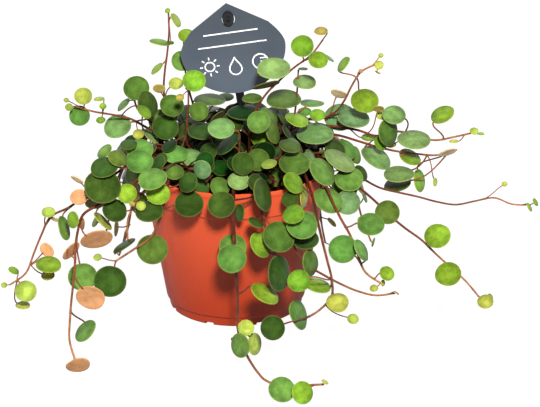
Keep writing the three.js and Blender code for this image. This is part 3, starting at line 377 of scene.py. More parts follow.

# The stems that set the plant's look: name, thickness, root, the points that each passes, its
# leaves, and a letter for each leaf's colour. A leaf is its point, the clock hour of its stalk as
# the viewer sees it, its reach, how far toward the viewer, its radius, and the hour and degrees
# that its face turns away from the viewer.
# Some letters are paler than their leaf's own colour: painted light on leaves that lie in shade
VINES = [
    ("front", 0.8, (-5, -36),
     [(-1, -49, 91), (0, -57, 85), (0, -61, 68), (1, -64, 46), (2, -66, 28), (2, -70, 14),
      (8, -92, 6), (19, -124, 7), (34, -129, 8), (47, -128, 8)],
     [(0, 3.1, 3.6, 4, 6, 0, 35), (2, 6.1, 17, 10, 8, 0, 15), (2, 6.1, 10.5, 2, 8, 0, 15),
      (4, 2.4, 15.5, 4, 8.5, 1, 60), (5, 5.7, 9, 3, 8, 9, 40), (5, 2.8, 4.5, 8, 4.6, 0, 20),
      (5, 4.5, 13, 1, 6.5, 3, 55), (7, 3.8, 7, 3, 7.5, 0, 20), (8, 5, 4.2, 0, 6.5, 2.5, 25),
      (9, 0.8, 1.7, 2, 2.1, 1, 65)],
     "pgglgyygly"),
    ("front_right", 0.75, (12, -36),
     [(11, -47, 90), (13, -56, 85), (16, -60, 72), (20, -63, 60), (24, -64, 50)],
     [(1, 8.5, 20, 8, 7.5, 0, 15), (1, 2.7, 3, 5, 9.5, 2.5, 65), (2, 4.6, 12, 2, 9, 0, 20),
      (3, 8.8, 5.4, 6, 8, 2, 40), (4, 5.9, 6.5, 2, 10, 3, 50), (1, 7.5, 14, 1, 4.8, 9, 55),
      (2, 8.6, 4.2, 2, 4.8, 1, 65)],
     "ddvlddd"),
    ("side_runner", 0.7, (24, -28),
     [(27, -42, 90), (30, -53, 84), (32, -57, 69), (34, -59, 52), (46, -62, 43), (60, -62, 35),
      (70, -62, 31), (79, -61, 29), (87, -60, 30)],
     [(1, 5.9, 2.2, 3, 4.8, 0, 25), (2, 3.2, 4.4, 8, 8.5, 0, 25), (2, 11.9, 5.8, 3, 6.5, 11, 35),
      (2, 4.8, 10.5, 2, 7.5, 0, 40), (3, 4.1, 8.5, 2, 7.5, 3, 55), (4, 8.3, 12, 6, 7, 0, 15),
      (4, 6.2, 7.5, 2, 7.5, 0.5, 60), (0, 4.5, 15.5, 1, 6.5, 3, 70), (8, 1.5, 0.6, 1, 1.9, 1, 75)],
     "dgldvllyc"),
    ("right_drop", 0.75, (33, -18),
     [(38, -35, 90), (40.9, -44, 84), (43.7, -50, 76), (46.1, -54, 64), (49.3, -57, 52),
      (52.1, -66, 42.1), (54, -66, 33.2), (47.1, -69, 26), (43, -67, 20), (37, -66, 17)],
     [(6, 5.5, 5.8, 3, 6.5, 0, 35), (6, 4.9, 18.5, 3, 3.2, 0, 30), (9, 10.9, 3.6, 3, 8.5, 2.5, 60),
      (9, 8.6, 16.5, 4, 8, 0, 15)],
     "yygd"),
    ("right_fork", 0.75, (34, -8),
     [(40, -23, 91), (47, -35, 89), (55, -46, 73), (62, -52, 62), (67, -56, 50), (70, -58, 43),
      (74, -60, 38), (79, -60, 36)],
     [(0, 4, 9, 8, 9, 1.5, 45), (1, 5.5, 15, 6, 8.5, 1, 40), (1, 4.6, 21.5, 3, 7.5, 0, 20),
      (3, 2.2, 12.5, 4, 7.5, 0, 35), (4, 9.9, 9.5, 4, 8, 0, 15), (4, 0.7, 3.8, 0, 7, 2, 60),
      (6, 2.2, 9, 3, 4.3, 1, 30), (7, 7.7, 4.6, 3, 2.4, 0, 40), (7, 3, 1.3, 1, 1.9, 3, 50)],
     "ggbggglyy"),
    ("right_slope", 0.7, (33, 3),
     [(45, -8, 90), (61, -20, 83), (70, -27, 77), (78, -31, 71), (89, -37, 62), (102, -43, 54),
      (113, -47, 44), (124, -50, 35), (133, -53, 25)],
     [(1, 4.8, 2.6, 6, 8, 0, 30), (1, 6.1, 6.5, -2, 7.5, 0, 35), (1, 11.3, 9.5, 2, 9.5, 1, 60),
      (3, 4.5, 7.5, 3, 7, 11.5, 15), (5, 2.4, 8.5, 3, 7.5, 11, 30),
      (6, 5.3, 8.5, 3, 7.5, 11.5, 25), (8, 4.3, 4.1, 3, 4.6, 11.5, 35),
      (8, 3.1, 6.5, 1, 2.2, 2, 50), (0, 2.8, 6.5, 0, 6, 1, 60)],
     "ggpvllygg"),
    ("right_long", 0.6, (29, 12),
     [(46, 6, 89), (62, -3, 82), (73, -10, 76), (81, -13, 73), (100, -15, 69), (122, -15, 64),
      (143, -12, 67), (158, -11, 61), (164, -10, 62)],
     [(6, 1.2, 10, 3, 1.7, 11.5, 35), (8, 7, 1.5, 2, 2.8, 2, 65), (8, 2, 3.2, 2, 2.5, 2, 60)],
     "yll"),
    ("right_reach", 0.7, (21, 18),
     [(38, 15, 94), (57, 10, 96), (75, 5, 92), (90, 0, 90), (103, -2, 89), (114, -3, 89),
      (123, -3, 92)],
     [(2, 5.1, 8, 3, 9.5, 1, 55), (3, 3.8, 8, 3, 7, 1, 55), (3, 5.9, 13.5, 8, 9, 0, 60),
      (4, 7.2, 21.5, 3, 8, 11.5, 60), (4, 6, 15.5, 2, 7, 3, 60), (4, 5.1, 18.5, 2, 2.5, 3, 55),
      (5, 2.2, 3.7, 2, 5.5, 11.5, 105), (2, 2.7, 6, 2, 4.5, 2, 40)],
     "plpdlycl"),
    ("right_high", 0.7, (12, 25),
     [(36, 23, 96), (62, 14, 99), (81, 8, 96), (92, 6, 100), (109, 2, 96), (118, 0, 98),
      (125, 0, 99), (132, 0, 101)],
     [(2, 2, 4.7, 3, 8.5, 3, 50), (3, 11.2, 10, 2, 7, 0, 40), (4, 9.1, 10, 6, 9.5, 0, 55),
      (5, 11.5, 14, 3, 7, 11, 50), (6, 7.7, 4.7, 1, 2.8, 0, 70), (7, 0.5, 0.9, 2, 2.5, 0, 35),
      (7, 3.3, 4.3, 1, 1.9, 0, 65), (2, 0.1, 12.5, 5, 3.6, 0, 35), (2, 11.8, 16, 3, 3.3, 0, 120),
      (1, 3.8, 14, 1, 4.5, 0, 60), (3, 7.1, 9.5, 0, 3.1, 0, 125)],
     "vpplyylyolo"),
    ("right_top", 0.7, (4, 31),
     [(30, 29, 97), (52, 21, 103), (62, 14, 117), (66, 10, 128), (70, 8, 134), (75, 8, 137),
      (80, 8, 139)],
     [(1, 3.1, 14, 8, 9, 0, 50), (1, 3, 7, 2, 10, 0, 35), (3, 5.1, 13, 3, 8, 0, 30),
      (4, 9.7, 11, 2, 5, 10, 65), (6, 6.8, 1.6, 3, 2.6, 11.5, 15), (6, 0.2, 4.3, 2, 1.5, 0, 20),
      (6, 6.4, 5.5, 1, 1.9, 1, 105), (1, 0.8, 15, 2, 5, 0.5, 115), (4, 9.4, 0.5, 2, 1.4, 0, 35)],
     "bbllyyccc"),
    ("left_fork", 0.75, (-33, -14),
     [(-42, -25, 92), (-53, -38, 86), (-70, -47, 78), (-81, -54, 73), (-84, -66, 62),
      (-84, -80, 52), (-85, -98, 38), (-85, -111, 25), (-82, -118, 18)],
     [(2, 6.1, 11, 4, 6.5, 1.5, 75), (2, 9.4, 13.5, 2, 5, 11.5, 150),
      (2, 8.7, 5.5, 0, 5.5, 0, 120), (2, 10.4, 19, 0, 3.8, 1, 110), (3, 8.1, 6, 2, 4.8, 9, 45),
      (3, 6.2, 5.2, 0, 3.5, 3, 70), (4, 7.1, 5.8, 3, 6.5, 10.5, 115),
      (3, 5.1, 15.5, 2, 9, 11.5, 120), (4, 5.7, 20, 3, 8, 0.5, 20), (5, 5.1, 17.5, 0, 8, 0, 140),
      (6, 5, 15, 3, 7, 10.5, 55), (8, 5.1, 3.9, 2, 6.5, 11.5, 125)],
     "yrvclcrrgrgr"),
    ("left_far", 0.7, (-35, -3),
     [(-48, -10, 92), (-63, -21, 86), (-77, -31, 79), (-88, -40, 73), (-100, -46, 68),
      (-106, -52, 55), (-111, -56, 45), (-114, -58, 38), (-121, -60, 35)],
     [(4, 0, 3.7, 3, 3.8, 0, 40), (4, 3.3, 2.7, 1, 3, 0.5, 115), (3, 6.6, 13.5, 3, 7, 2.5, 70),
      (5, 4, 5.9, 2, 4.6, 1.5, 140), (6, 2.9, 11.5, 6, 7, 0, 50), (6, 4, 12, 2, 3.8, 0, 45),
      (7, 5.6, 7.5, 4, 6, 0.5, 15), (7, 10.5, 6.5, 2, 3.2, 1, 60), (7, 6.1, 16, 0, 4.1, 0, 60),
      (8, 8.9, 3, 2, 1.7, 0.5, 30)],
     "ycgrlyylyy"),
    ("left_side", 0.75, (-27, -25),
     [(-34, -39, 89), (-37, -49, 81), (-41, -55, 67), (-46, -57, 60), (-52, -60, 57),
      (-58, -63, 53), (-63, -65, 51)],
     [(1, 3.5, 13.5, 5, 8, 0, 20), (2, 6.4, 13.5, 4, 8.5, 0.5, 15), (6, 6.5, 12, 4, 9, 0.5, 15),
      (6, 9.4, 10, 1, 2.4, 0, 40)],
     "dvdy"),
    ("left_stub", 0.7, (-31, -20),
     [(-41, -34, 89), (-48, -44, 83), (-55, -51, 76), (-57, -55, 69), (-57, -59, 61)],
     [(2, 8.7, 9, 2, 7, 1, 30), (2, 3.4, 10, 2, 8, 0, 45), (4, 7, 3.8, 2, 7, 11, 75),
      (1, 8.7, 9.5, 6, 5.5, 0.5, 10), (2, 2.6, 5.5, 6, 2.7, 0.5, 20),
      (1, 3.4, 7.5, 8, 6.5, 0.5, 15), (2, 0.5, 2.3, 5, 1.6, 0, 145)],
     "ddklylo"),
    ("left_low", 0.75, (-31, -8),
     [(-42, -19, 93), (-50, -30, 91), (-57, -37, 93), (-62, -41, 96), (-67, -43, 98)],
     [(3, 7.2, 14, 6, 10.5, 0.5, 25), (1, 11.5, 4.1, 8, 7.5, 0, 30),
      (1, 11.8, 10.5, 0, 7.5, 0, 30), (3, 8.9, 7.5, 0, 8, 11.5, 40), (3, 11.9, 4.8, 2, 5.5, 1, 40),
      (4, 11.2, 8.5, -2, 5.5, 10.5, 55), (2, 0, 14.5, -3, 5, 0, 50)],
     "dggdvgd"),
    ("left_up", 0.7, (-24, 8),
     [(-38, 4, 95), (-49, -3, 105), (-55, -8, 111), (-64, -12, 115), (-73, -16, 118),
      (-79, -18, 120), (-86, -20, 123)],
     [(2, 8.3, 10, 4, 8, 11.5, 30), (2, 1.3, 12, 2, 7.5, 2.5, 45), (2, 1.8, 7.5, 6, 5, 1.5, 55),
      (4, 0.8, 4.1, 3, 2, 0.5, 25), (4, 11.9, 8, 1, 3, 0, 65), (4, 5.9, 4.2, 2, 2.7, 0, 45),
      (5, 11.4, 8.5, 4, 5, 0.5, 15), (5, 8, 6, 3, 6, 11.5, 10), (6, 8.7, 3.4, 3, 2.3, 0.5, 25),
      (6, 10.2, 6, 2, 1.5, 0.5, 25), (2, 5.5, 8.5, 6, 3.2, 0, 30)],
     "pdllylygyyy"),
    ("left_top", 0.7, (-20, 16),
     [(-38, 11, 98), (-50, 5, 108), (-55, 1, 117), (-56, -1, 124)],
     [(3, 1.1, 3.7, 4, 7.5, 0.5, 15), (2, 9, 6.5, 1, 4.7, 10.5, 65), (1, 3.9, 13, 6, 7.5, 0.5, 10),
      (1, 3.4, 8.5, 1, 7.5, 0.5, 10), (1, 5.4, 11.5, 3, 5.5, 1.5, 65)],
     "vgdpp"),
    ("upright_left", 0.65, (-15, 6),
     [(-33, 6, 100), (-39, 4, 120), (-38, 4, 140), (-36, 4, 152), (-36, 4, 163), (-36, 4, 169)],
     [(1, 11.1, 5.9, 3, 3.6, 0, 130), (1, 1.3, 10.5, 3, 4.1, 0, 30),
      (2, 7.9, 5.7, 1, 4.4, 10.5, 65), (3, 9.1, 4.8, 2, 6, 0.5, 70), (3, 3.7, 1.6, 2, 1.6, 0, 50),
      (4, 2.3, 4.4, 2, 4.4, 2, 65), (5, 11.2, 1, 1, 1.6, 11, 30), (0, 11.8, 14.5, 1, 7.5, 0, 25)],
     "oyllvylv"),
    ("upright_mid", 0.65, (-8, -9),
     [(-26.3, -16, 100.4), (-25.4, -15, 112.4), (-25, -14, 130)],
     [(2, 1, 6.5, 3, 6.5, 0, 20), (2, 7.6, 6, 4, 2.3, 0, 30), (1, 1.5, 8.5, 3, 5.5, 0.5, 10),
      (0, 7.4, 8.5, 9, 7, 0, 45), (0, 5.7, 8, 5, 7.5, 0, 50), (0, 1.7, 11, 2, 8, 0, 50)],
     "lovgpd"),
    ("behind_label", 0.65, (-6, 17),
     [(-20, 17, 102), (-27, 15, 127), (-28, 14, 145)],
     [(2, 0.3, 8, 2, 4.6, 0, 30), (1, 11.6, 11, 3, 6, 0.5, 15), (0, 0.8, 14, 1, 9, 0, 65),
      (0, 1.5, 20.5, -2, 5, 0, 55)],
     "lgvp"),
    ("mid_right_up", 0.65, (9, -10),
     [(8, -15, 103), (12, -15, 120), (18, -14, 129), (31, -11, 141), (41, -9, 148), (48, -8, 157)],
     [(3, 9.1, 9.5, 6, 9, 0, 45), (2, 11.6, 4.3, 1, 8, 11.5, 100), (4, 10.8, 7, 3, 6.5, 0, 20),
      (4, 3.9, 5, 3, 5.5, 0, 25), (4, 3.1, 10, 0, 4.1, 1, 70), (5, 11.6, 5, 2, 3.8, 0, 50),
      (0, 1, 10.5, 8, 6.5, 0, 15), (0, 2.7, 7, 4, 7, 0, 15), (0, 2.4, 13.5, 0, 7.5, 2.5, 60),
      (1, 11.3, 6.5, 1, 5.5, 0, 60), (1, 8.5, 7, -4, 9.5, 0, 60)],
     "pdllgrglvvk"),
    ("mid_right_post", 0.65, (17, 3),
     [(31, 3, 102), (34, 3, 121), (35, 4, 136)],
     [(1, 8.6, 7, 2, 10, 0, 55), (0, 1, 6.5, 6, 7, 0.5, 60), (0, 3.4, 13.5, 4, 10.5, 0, 55),
      (1, 0.9, 9.5, 2, 6.5, 0, 50), (2, 2.6, 2.6, 2, 2.7, 0, 70), (1, 2.9, 11, 4, 8, 0.5, 105),
      (1, 3.6, 9.5, 0, 8, 0, 65), (0, 2, 17, 2, 4.7, 0, 40), (0, 1.2, 13, 2, 4.4, 0, 50)],
     "vlppddglg"),
    ("centre_front", 0.7, (2, -23),
     [(2, -31, 91), (3, -36, 103)],
     [(1, 10.8, 16, 8, 7.5, 0, 40), (1, 10.1, 8, 4, 9, 11, 45), (0, 1.6, 4.1, 2, 7.5, 0, 15),
      (0, 7.4, 14, 3, 6.5, 0, 25), (0, 9.1, 9, -3, 5.5, 0, 35), (1, 3.9, 11, -3, 6.5, 0, 15)],
     "pkdvkv"),
    ("centre_right", 0.7, (17, -17),
     [(22, -29, 91), (26, -33, 102)],
     [(0, 10.1, 3.8, 9, 4.5, 11.5, 55), (0, 9.3, 11, 9, 3, 0, 40), (0, 5.5, 5.7, 4, 6.5, 0, 20),
      (1, 4.6, 9.5, 4, 8.5, 0, 40), (1, 1.8, 4.8, 1, 6, 0.5, 55)],
     "yyvvd"),
    ("centre_left", 0.7, (-16, -21),
     [(-24, -31, 89), (-28, -34, 96)],
     [(0, 9, 8, 4, 5.5, 0, 30), (1, 7.9, 18, 3, 9.5, 0, 55)],
     "vg"),
]


def draw(*keys):
    """A repeatable number from 0 to 1 for each set of whole numbers"""
    value = HASH_START
    for key in keys:
        value = ((value ^ key) * HASH_STEP) & HASH_WORD
        value ^= value >> 13
        value = (value * HASH_STIR) & HASH_WORD
        value ^= value >> 15
    return value / (HASH_WORD + 1)


def sway(*keys):
    """A repeatable number from -0.5 to 0.5"""
    return draw(*keys) - 0.5


def vary(span, *keys):
    """The least value of a span and what the draw adds to it"""
    least, extra = span
    return least + extra * draw(*keys)


def unit(vector):
    return vector / np.linalg.norm(vector)


def polar(reach, turn):
    return reach * math.cos(turn), reach * math.sin(turn)


def out_of_axis(point):
    """How far a point is from the pot's axis"""
    return math.hypot(point[0], point[1])


def clock(hour):
    """The turn of a clock hour"""
    return hour / 12 * FULL_TURN


def pot_radius_at(height):
    return POT_BODY_FOOT_RADIUS + POT_SLOPE * (height - POT_FOOT_HEIGHT)


def dome_height(squared_reach):
    """The crown's height, which drops with the square of the distance from the axis"""
    return CROWN_DOME_HEIGHT - CROWN_DOME_DROP * squared_reach


def thin_if_small(radius):
    """The share of a full leaf's thickness that a leaf of this radius has"""
    return min(1, SMALL_LEAF + radius / FULL_LEAF)


def smooth(a, b, c, d, t):
    """The stretch of a smooth curve from b to c, which a and d lead into and out of"""
    return 0.5 * (2 * b + (c - a) * t + (2 * a - 5 * b + 4 * c - d) * t * t
                  + (3 * b - a - 3 * c + d) * t * t * t)


def smooth_points(points, per_span):
    dense = []
    for i in range(len(points) - 1):
        before = points[max(i - 1, 0)]
        after = points[min(i + 2, len(points) - 1)]
        for k in range(per_span):
            dense.append(smooth(before, points[i], points[i + 1], after, k / per_span))
    dense.append(points[-1])
    return np.array(dense, float)


def even_route(points, step):
    """Points an even step apart along the smooth curve through the given ones"""
    dense = smooth_points(points, DENSE_PER_SPAN)
    travelled = np.concatenate([[0], np.cumsum(np.linalg.norm(np.diff(dense, axis=0), axis=1))])
    length = travelled[-1]
    count = max(3, math.floor(length / step + 0.5))
    even = []
    at = 0
    for i in range(count + 1):
        wanted = length * i / count
        while at < len(dense) - 2 and travelled[at + 1] < wanted:
            at += 1
        part = (wanted - travelled[at]) / (travelled[at + 1] - travelled[at])
        even.append(dense[at] + (dense[at + 1] - dense[at]) * min(part, 1))
    return np.array(even)


def stem_route(root, route, fill):
    """A stem stands upright in its hole and then follows its route"""
    points = [np.array((*root, SOIL_TOP + height), float) for height in STEM_STANDS]
    points += [np.array(point, float) for point in route]
    return even_route(points, RING_STEP[fill])


def along(start, end):
    """Points along a rod, no more than a rod step apart"""
    count = max(1, math.ceil(np.linalg.norm(end - start) / ROD_STEP))
    return start + (end - start) * (np.arange(count + 1) / count)[:, None]


def to_ground(points):
    """How far each point is outside the pot's wall, the peat and the floor"""
    x, y, z = points.T
    ring = np.hypot(x, y)
    wall = pot_radius_at(np.clip(z, 0, POT_HEIGHT)) - POT_WALL / 2 + WALL_SHIFT
    aside = np.abs(ring - wall) - POT_WALL / 2 - WALL_SPARE
    near_wall = np.maximum(aside, z - POT_HEIGHT)
    over_peat = np.where(ring < wall, z - SOIL_TOP - SOIL_BUMP, z)
    return np.minimum(near_wall, over_peat)


def to_blade(points, centre, normal, radius, half):
    """How far each point is from the surface of a round blade that thins out to its rim"""
    offset = points - centre
    height = (offset * normal).sum(-1)
    reach = np.sqrt(np.maximum((offset * offset).sum(-1) - height * height, 0))
    thick = half * np.maximum(0, 1 - reach / radius)
    return np.hypot(height, np.maximum(0, reach - radius)) - thick


def to_rods(points, starts, ends):
    """How far each point is from each rod's line"""
    line = ends - starts
    offset = points[None] - starts[:, None]
    part = (offset * line[:, None]).sum(-1) / np.maximum((line * line).sum(-1), 1e-9)[:, None]
    nearest_point = starts[:, None] + line[:, None] * np.clip(part, 0, 1)[..., None]
    return np.linalg.norm(points[None] - nearest_point, axis=-1)


def spread(blade):
    """Points over a blade, and half its thickness there: its middle, its rim and half way out"""
    number = np.arange(SAMPLES)
    on_rim = number < RIM_SAMPLES
    turns = number / np.where(on_rim, RIM_SAMPLES, SAMPLES - RIM_SAMPLES) * FULL_TURN
    reach = np.where(on_rim, blade["radius"], blade["radius"] / 2)
    points = (blade["centre"] + blade["along"] * (reach * np.cos(turns))[:, None]
              + blade["across"] * (reach * np.sin(turns))[:, None])
    halves = np.where(on_rim, 0, blade["half"] / 2)
    return np.vstack([blade["centre"][None], points]), np.concatenate([[blade["half"]], halves])


def blade_shape(blade):
    return blade["centre"], blade["normal"], blade["radius"], blade["half"]


class Grown:
    """Everything that a new leaf or stem has to stay clear of"""

    def __init__(self):
        self.blades = 0
        self.centre = np.zeros((MOST_BLADES, 3))
        self.normal = np.zeros((MOST_BLADES, 3))
        self.radius = np.zeros(MOST_BLADES)
        self.half = np.zeros(MOST_BLADES)
        self.points = np.zeros((MOST_BLADES, SAMPLES + 1, 3))
        self.halves = np.zeros((MOST_BLADES, SAMPLES + 1))
        self.rods = 0
        self.start = np.zeros((MOST_RODS, 3))
        self.end = np.zeros((MOST_RODS, 3))
        self.thick = np.zeros(MOST_RODS)
        self.stem = np.zeros(MOST_RODS, int)
        self.rod_points = np.zeros((0, 3))
        self.rod_of_point = np.zeros(0, int)

    def add_blade(self, blade):
        n = self.blades
        self.centre[n] = blade["centre"]
        self.normal[n] = blade["normal"]
        self.radius[n] = blade["radius"]
        self.half[n] = blade["half"]
        self.points[n], self.halves[n] = spread(blade)
        self.blades += 1

    def add_rod(self, start, end, thick, stem):
        n = self.rods
        self.start[n] = start
        self.end[n] = end
        self.thick[n] = thick
        self.stem[n] = stem
        points = along(start, end)
        self.rod_points = np.vstack([self.rod_points, points])
        self.rod_of_point = np.concatenate([self.rod_of_point, np.full(len(points), n)])
        self.rods += 1

    def near_blades(self, place, reach):
        """The blades within reach of a place, beyond their own radius"""
        away = np.linalg.norm(self.centre[:self.blades] - place, axis=1)
        return np.flatnonzero(away < self.radius[:self.blades] + reach)

    def to_blades(self, points, near):
        """How far each point is from each of the near blades"""
        return to_blade(points[None], self.centre[near, None], self.normal[near, None],
                        self.radius[near, None], self.half[near, None])

    def rod_lines(self):
        """Each rod's start, end, middle and length"""
        starts, ends = self.start[:self.rods], self.end[:self.rods]
        return starts, ends, starts + (ends - starts) * 0.5, np.linalg.norm(ends - starts, axis=1)

    def clear_of_blades(self, blade, points, halves):
        near = self.near_blades(blade["centre"], blade["radius"] + BLADES_LOOK)
        if not len(near):
            return True
        if (self.to_blades(points, near) < halves[None] + 2 * SEAT_GAP).any():
            return False
        back = to_blade(self.points[near], *blade_shape(blade))
        return not (back < self.halves[near] + 2 * SEAT_GAP).any()

    def blade_is_clear(self, blade, stem):
        """A blade may come near the rods of its own stem, and meet them at its joint"""
        points, halves = spread(blade)
        if (to_ground(points) < SEAT_GAP + halves).any():
            return False
        if not self.clear_of_blades(blade, points, halves):
            return False
        _, _, middle, length = self.rod_lines()
        near = (np.linalg.norm(middle - blade["centre"], axis=1)
                < blade["radius"] + length / 2 + BLADE_ROD_LOOK)
        chosen = near[self.rod_of_point]
        rods = self.rod_of_point[chosen]
        own = self.stem[rods] == stem
        room = self.thick[rods] + np.where(own, OWN_STEM_ROOM, SEAT_GAP + ROD_SPARE)
        spare = np.where(own, JOINT_SPARE, 0)
        points = self.rod_points[chosen]
        away = np.linalg.norm(points - blade["joint"], axis=1) > spare
        return not (away & (to_blade(points, *blade_shape(blade)) < room)).any()

    def rod_is_clear(self, start, end, thick, stem):
        points = along(start, end)
        if (to_ground(points) < thick + SEAT_GAP).any():
            return False
        length = np.linalg.norm(end - start)
        near = self.near_blades(start, length + BLADE_ROD_LOOK)
        if len(near) and (self.to_blades(points, near) < thick + SEAT_GAP + ROD_SPARE).any():
            return False
        starts, ends, middle, lengths = self.rod_lines()
        others = ((self.stem[:self.rods] != stem)
                  & (np.linalg.norm(middle - start, axis=1) <= lengths / 2 + length + RODS_LOOK))
        near = np.flatnonzero(others)
        gap = to_rods(points, starts[near], ends[near])
        return not (gap <= (thick + self.thick[near] + SEAT_GAP)[:, None]).any()


GROWN = Grown()
STEMS = []
GIVEN = []
STAKE_ROOT = (LABEL_CENTRE[0] - (LABEL_CENTRE[2] - SOIL_TOP) * math.tan(LABEL_LEAN),
              LABEL_CENTRE[1] + STAKE_BACK)


def lay_leaf(joint, centre, radius, facing):
    """A leaf from its joint on the stem, the middle of its blade, its radius and its facing"""
    normal = unit(facing)
    line = centre - joint
    line = line + normal * -line.dot(normal)
    if np.linalg.norm(line) < LEAST_LINE:
        line = np.array((0, 0, -1.0)) + normal * normal[2]
    line = unit(line)
    return {
        "joint": joint,
        "centre": centre,
        "normal": normal,
        "along": line,
        "across": np.cross(normal, line),
        "radius": radius,
        "base": centre + line * -radius,
        "half": LEAF_HALF * thin_if_small(radius),
    }


def try_leaf(leaf, stem, index, tone):
    """A leaf is kept where its blade and stalk are clear of all that already grows"""
    stalk = leaf["joint"], leaf["base"], STALK_WIDTH / 2, stem["number"]
    if np.linalg.norm(leaf["base"] - leaf["joint"]) < SHORTEST_STALK:
        return False
    if not GROWN.blade_is_clear(leaf, stem["number"]) or not GROWN.rod_is_clear(*stalk):
        return False
    GROWN.add_rod(*stalk)
    GROWN.add_blade(leaf)
    leaf.update(at=index, tone=tone)
    stem["leaves"].append(leaf)
    return True


def waver(direction, amount, *keys):
    """A small turn of a direction, drawn for this leaf and try"""
    shift = np.array([amount * (2 * draw(*keys, n) - 1) for n in (1, 2, 3)])
    return unit(unit(np.array(direction, float)) + shift)


def turned(hour, degrees):
    """The way a face points when it turns from the viewer toward an hour by so many degrees"""
    turn, tip = clock(hour), math.radians(degrees)
    aside = np.array((math.sin(turn), 0, 0)) + VIEWER_UP * math.cos(turn)
    return TOWARD_VIEWER * math.cos(tip) + aside * math.sin(tip)


def place_leaf(stem, row, tone, index):
    """A given leaf slides along the sight line to the first place where it fits, on the joint
    nearest to its point or on one beside it"""
    at, hour, reach, near, radius, lean, tilt = row
    start = np.array(stem["points"][at], float)
    turn = clock(hour)
    aim = start + np.array((reach * math.sin(turn), 0, reach * math.cos(turn)))
    gaps = [np.linalg.norm(joint - start) for joint in stem["joints"]]
    nearest = gaps.index(min(gaps))
    for k in range(TRIES):
        waved = GIVEN_WAVER + GIVEN_WAVER * k
        facing = waver(turned(lean, tilt), waved, stem["number"], index, k)
        centre = aim + TOWARD_VIEWER * (near + SLIDES[k])
        for joint in (nearest, nearest + 1, nearest - 1):
            if 0 <= joint < len(stem["joints"]):
                size = radius * (1 - GIVEN_SHRINK * k)
                leaf = lay_leaf(stem["joints"][joint], centre, size, facing)
                if try_leaf(leaf, stem, joint, tone):
                    GIVEN.append(leaf)
                    stem["used"].add(joint)
                    return


def hides_given(leaf):
    """Whether a leaf by rule stands between the viewer and a leaf that is given"""
    there = np.array([given["centre"] for given in GIVEN])
    radii = np.array([given["radius"] for given in GIVEN])
    offset = leaf["centre"] - there
    nearer = offset.dot(TOWARD_VIEWER)
    aside = np.linalg.norm(offset - TOWARD_VIEWER * nearer[:, None], axis=1)
    return ((nearer > 0) & (aside < HIDING_SHARE * (radii + leaf["radius"]))).any()


def in_dome(leaf):
    """Leaves by rule keep to the dome of the crown, and leave the label free"""
    x, y, z = leaf["centre"]
    beside, around = LABEL_ROOM
    before_label = y < LABEL_CENTRE[1] + around and z > LABEL_CENTRE[2] - LABEL_BOTTOM - around
    over_label = before_label and abs(x) < LABEL_HALF_WIDTH + beside
    return z < dome_height(x * x + y * y) and not over_label


def grow_leaf(stem, index, side, radius, lift):
    """Leaves by rule turn round their stem by the golden angle and face up, out and to the light"""
    joint = stem["joints"][index]
    outward = math.atan2(joint[1], joint[0])
    least, looser = RULE_SWAY
    for k in range(TRIES):
        keys = (stem["number"], RULE_DRAWS + index, SIDE_DRAWS * side + k)
        aim = index * GOLDEN_TURN + stem["number"] + side * math.pi
        turn = aim + sway(*keys, 4) * (least + looser * k)
        stalk = vary(RULE_STALK, *keys, 5)
        size = radius * vary(RULE_SIZE, *keys, 6) * (1 - RULE_SHRINK * k)
        rise = lift + RULE_TILT * sway(*keys, 7)
        facing = (math.cos(rise) * math.cos(outward),
                  math.cos(rise) * math.sin(outward) - LIGHT_PULL, math.sin(rise))
        normal = waver(facing, RULE_WAVER, *keys)
        away = np.array((*polar(1, turn), RULE_CLIMB))
        away = unit(away + normal * -away.dot(normal))
        centre = joint + away * (stalk + size) + normal * (1 + stalk / 3)
        leaf = lay_leaf(joint, centre, size, normal)
        if in_dome(leaf) and not hides_given(leaf) and try_leaf(leaf, stem, index, BY_RULE):
            return


def add_stem(name, root, route, thick, fill):
    rings = stem_route(root, route, fill)
    number = len(STEMS)
    joints = list(rings[1:] + (rings[:-1] - rings[1:]) * 0.5) + [rings[-1]]
    STEMS.append({"name": name, "number": number, "root": root, "points": route, "rings": rings,
                  "joints": joints, "thick": thick, "fill": fill, "leaves": [], "used": set()})
    for start, end in zip(rings, rings[1:]):
        GROWN.add_rod(start, end, thick, number)


def add_if_clear(name, root, route, fill):
    """A stem by rule grows where its root is free and what stands over the peat is clear"""
    if not root_is_free(root):
        return False
    rings = [ring for ring in stem_route(root, route, fill)
             if ring[2] >= SOIL_TOP + STANDING_HEIGHT or out_of_axis(ring) >= POT_TOP_RADIUS]
    rods = zip(rings, rings[1:])
    if not all(GROWN.rod_is_clear(*rod, RULE_STEM_THICK, NEW_STEM) for rod in rods):
        return False
    add_stem(name, root, route, RULE_STEM_THICK, fill)
    return True


def root_is_free(root):
    x, y = root
    to_stake = math.hypot(x - STAKE_ROOT[0], y - STAKE_ROOT[1])
    to_stems = [math.hypot(x - stem["root"][0], y - stem["root"][1]) for stem in STEMS]
    return to_stake > ROOT_SPACING + 1 and min(to_stems) > ROOT_SPACING


def crown_stem(i, k):
    """Crown stems stand on a spiral over the peat and lean outward under the dome"""
    keys = (CROWN_DRAWS + i, k)
    first, extra = CROWN_ROOTS
    reach = first + extra * math.sqrt((i + draw(*keys, 1)) / CROWN_STEMS)
    least, looser = CROWN_SWAY
    turn = i * GOLDEN_TURN + sway(*keys, 2) * (least + looser * k)
    root = polar(reach, turn)
    out = vary(CROWN_OUT, *keys, 3)
    below, further = BELOW_DOME
    top = dome_height((reach * out) ** 2) - below - further * draw(*keys, 4)
    bend = turn + STEM_BEND * sway(*keys, 5)
    first, extra = CROWN_TIP
    tip = reach * out + first + extra * draw(*keys, 6)
    knee, low, high = CROWN_KNEE
    return root, [(root[0] * CROWN_LEAN, root[1] * CROWN_LEAN, CROWN_RISE),
                  (*polar(knee * tip, bend), low * CROWN_RISE + high * top),
                  (*polar(tip, bend), top)]


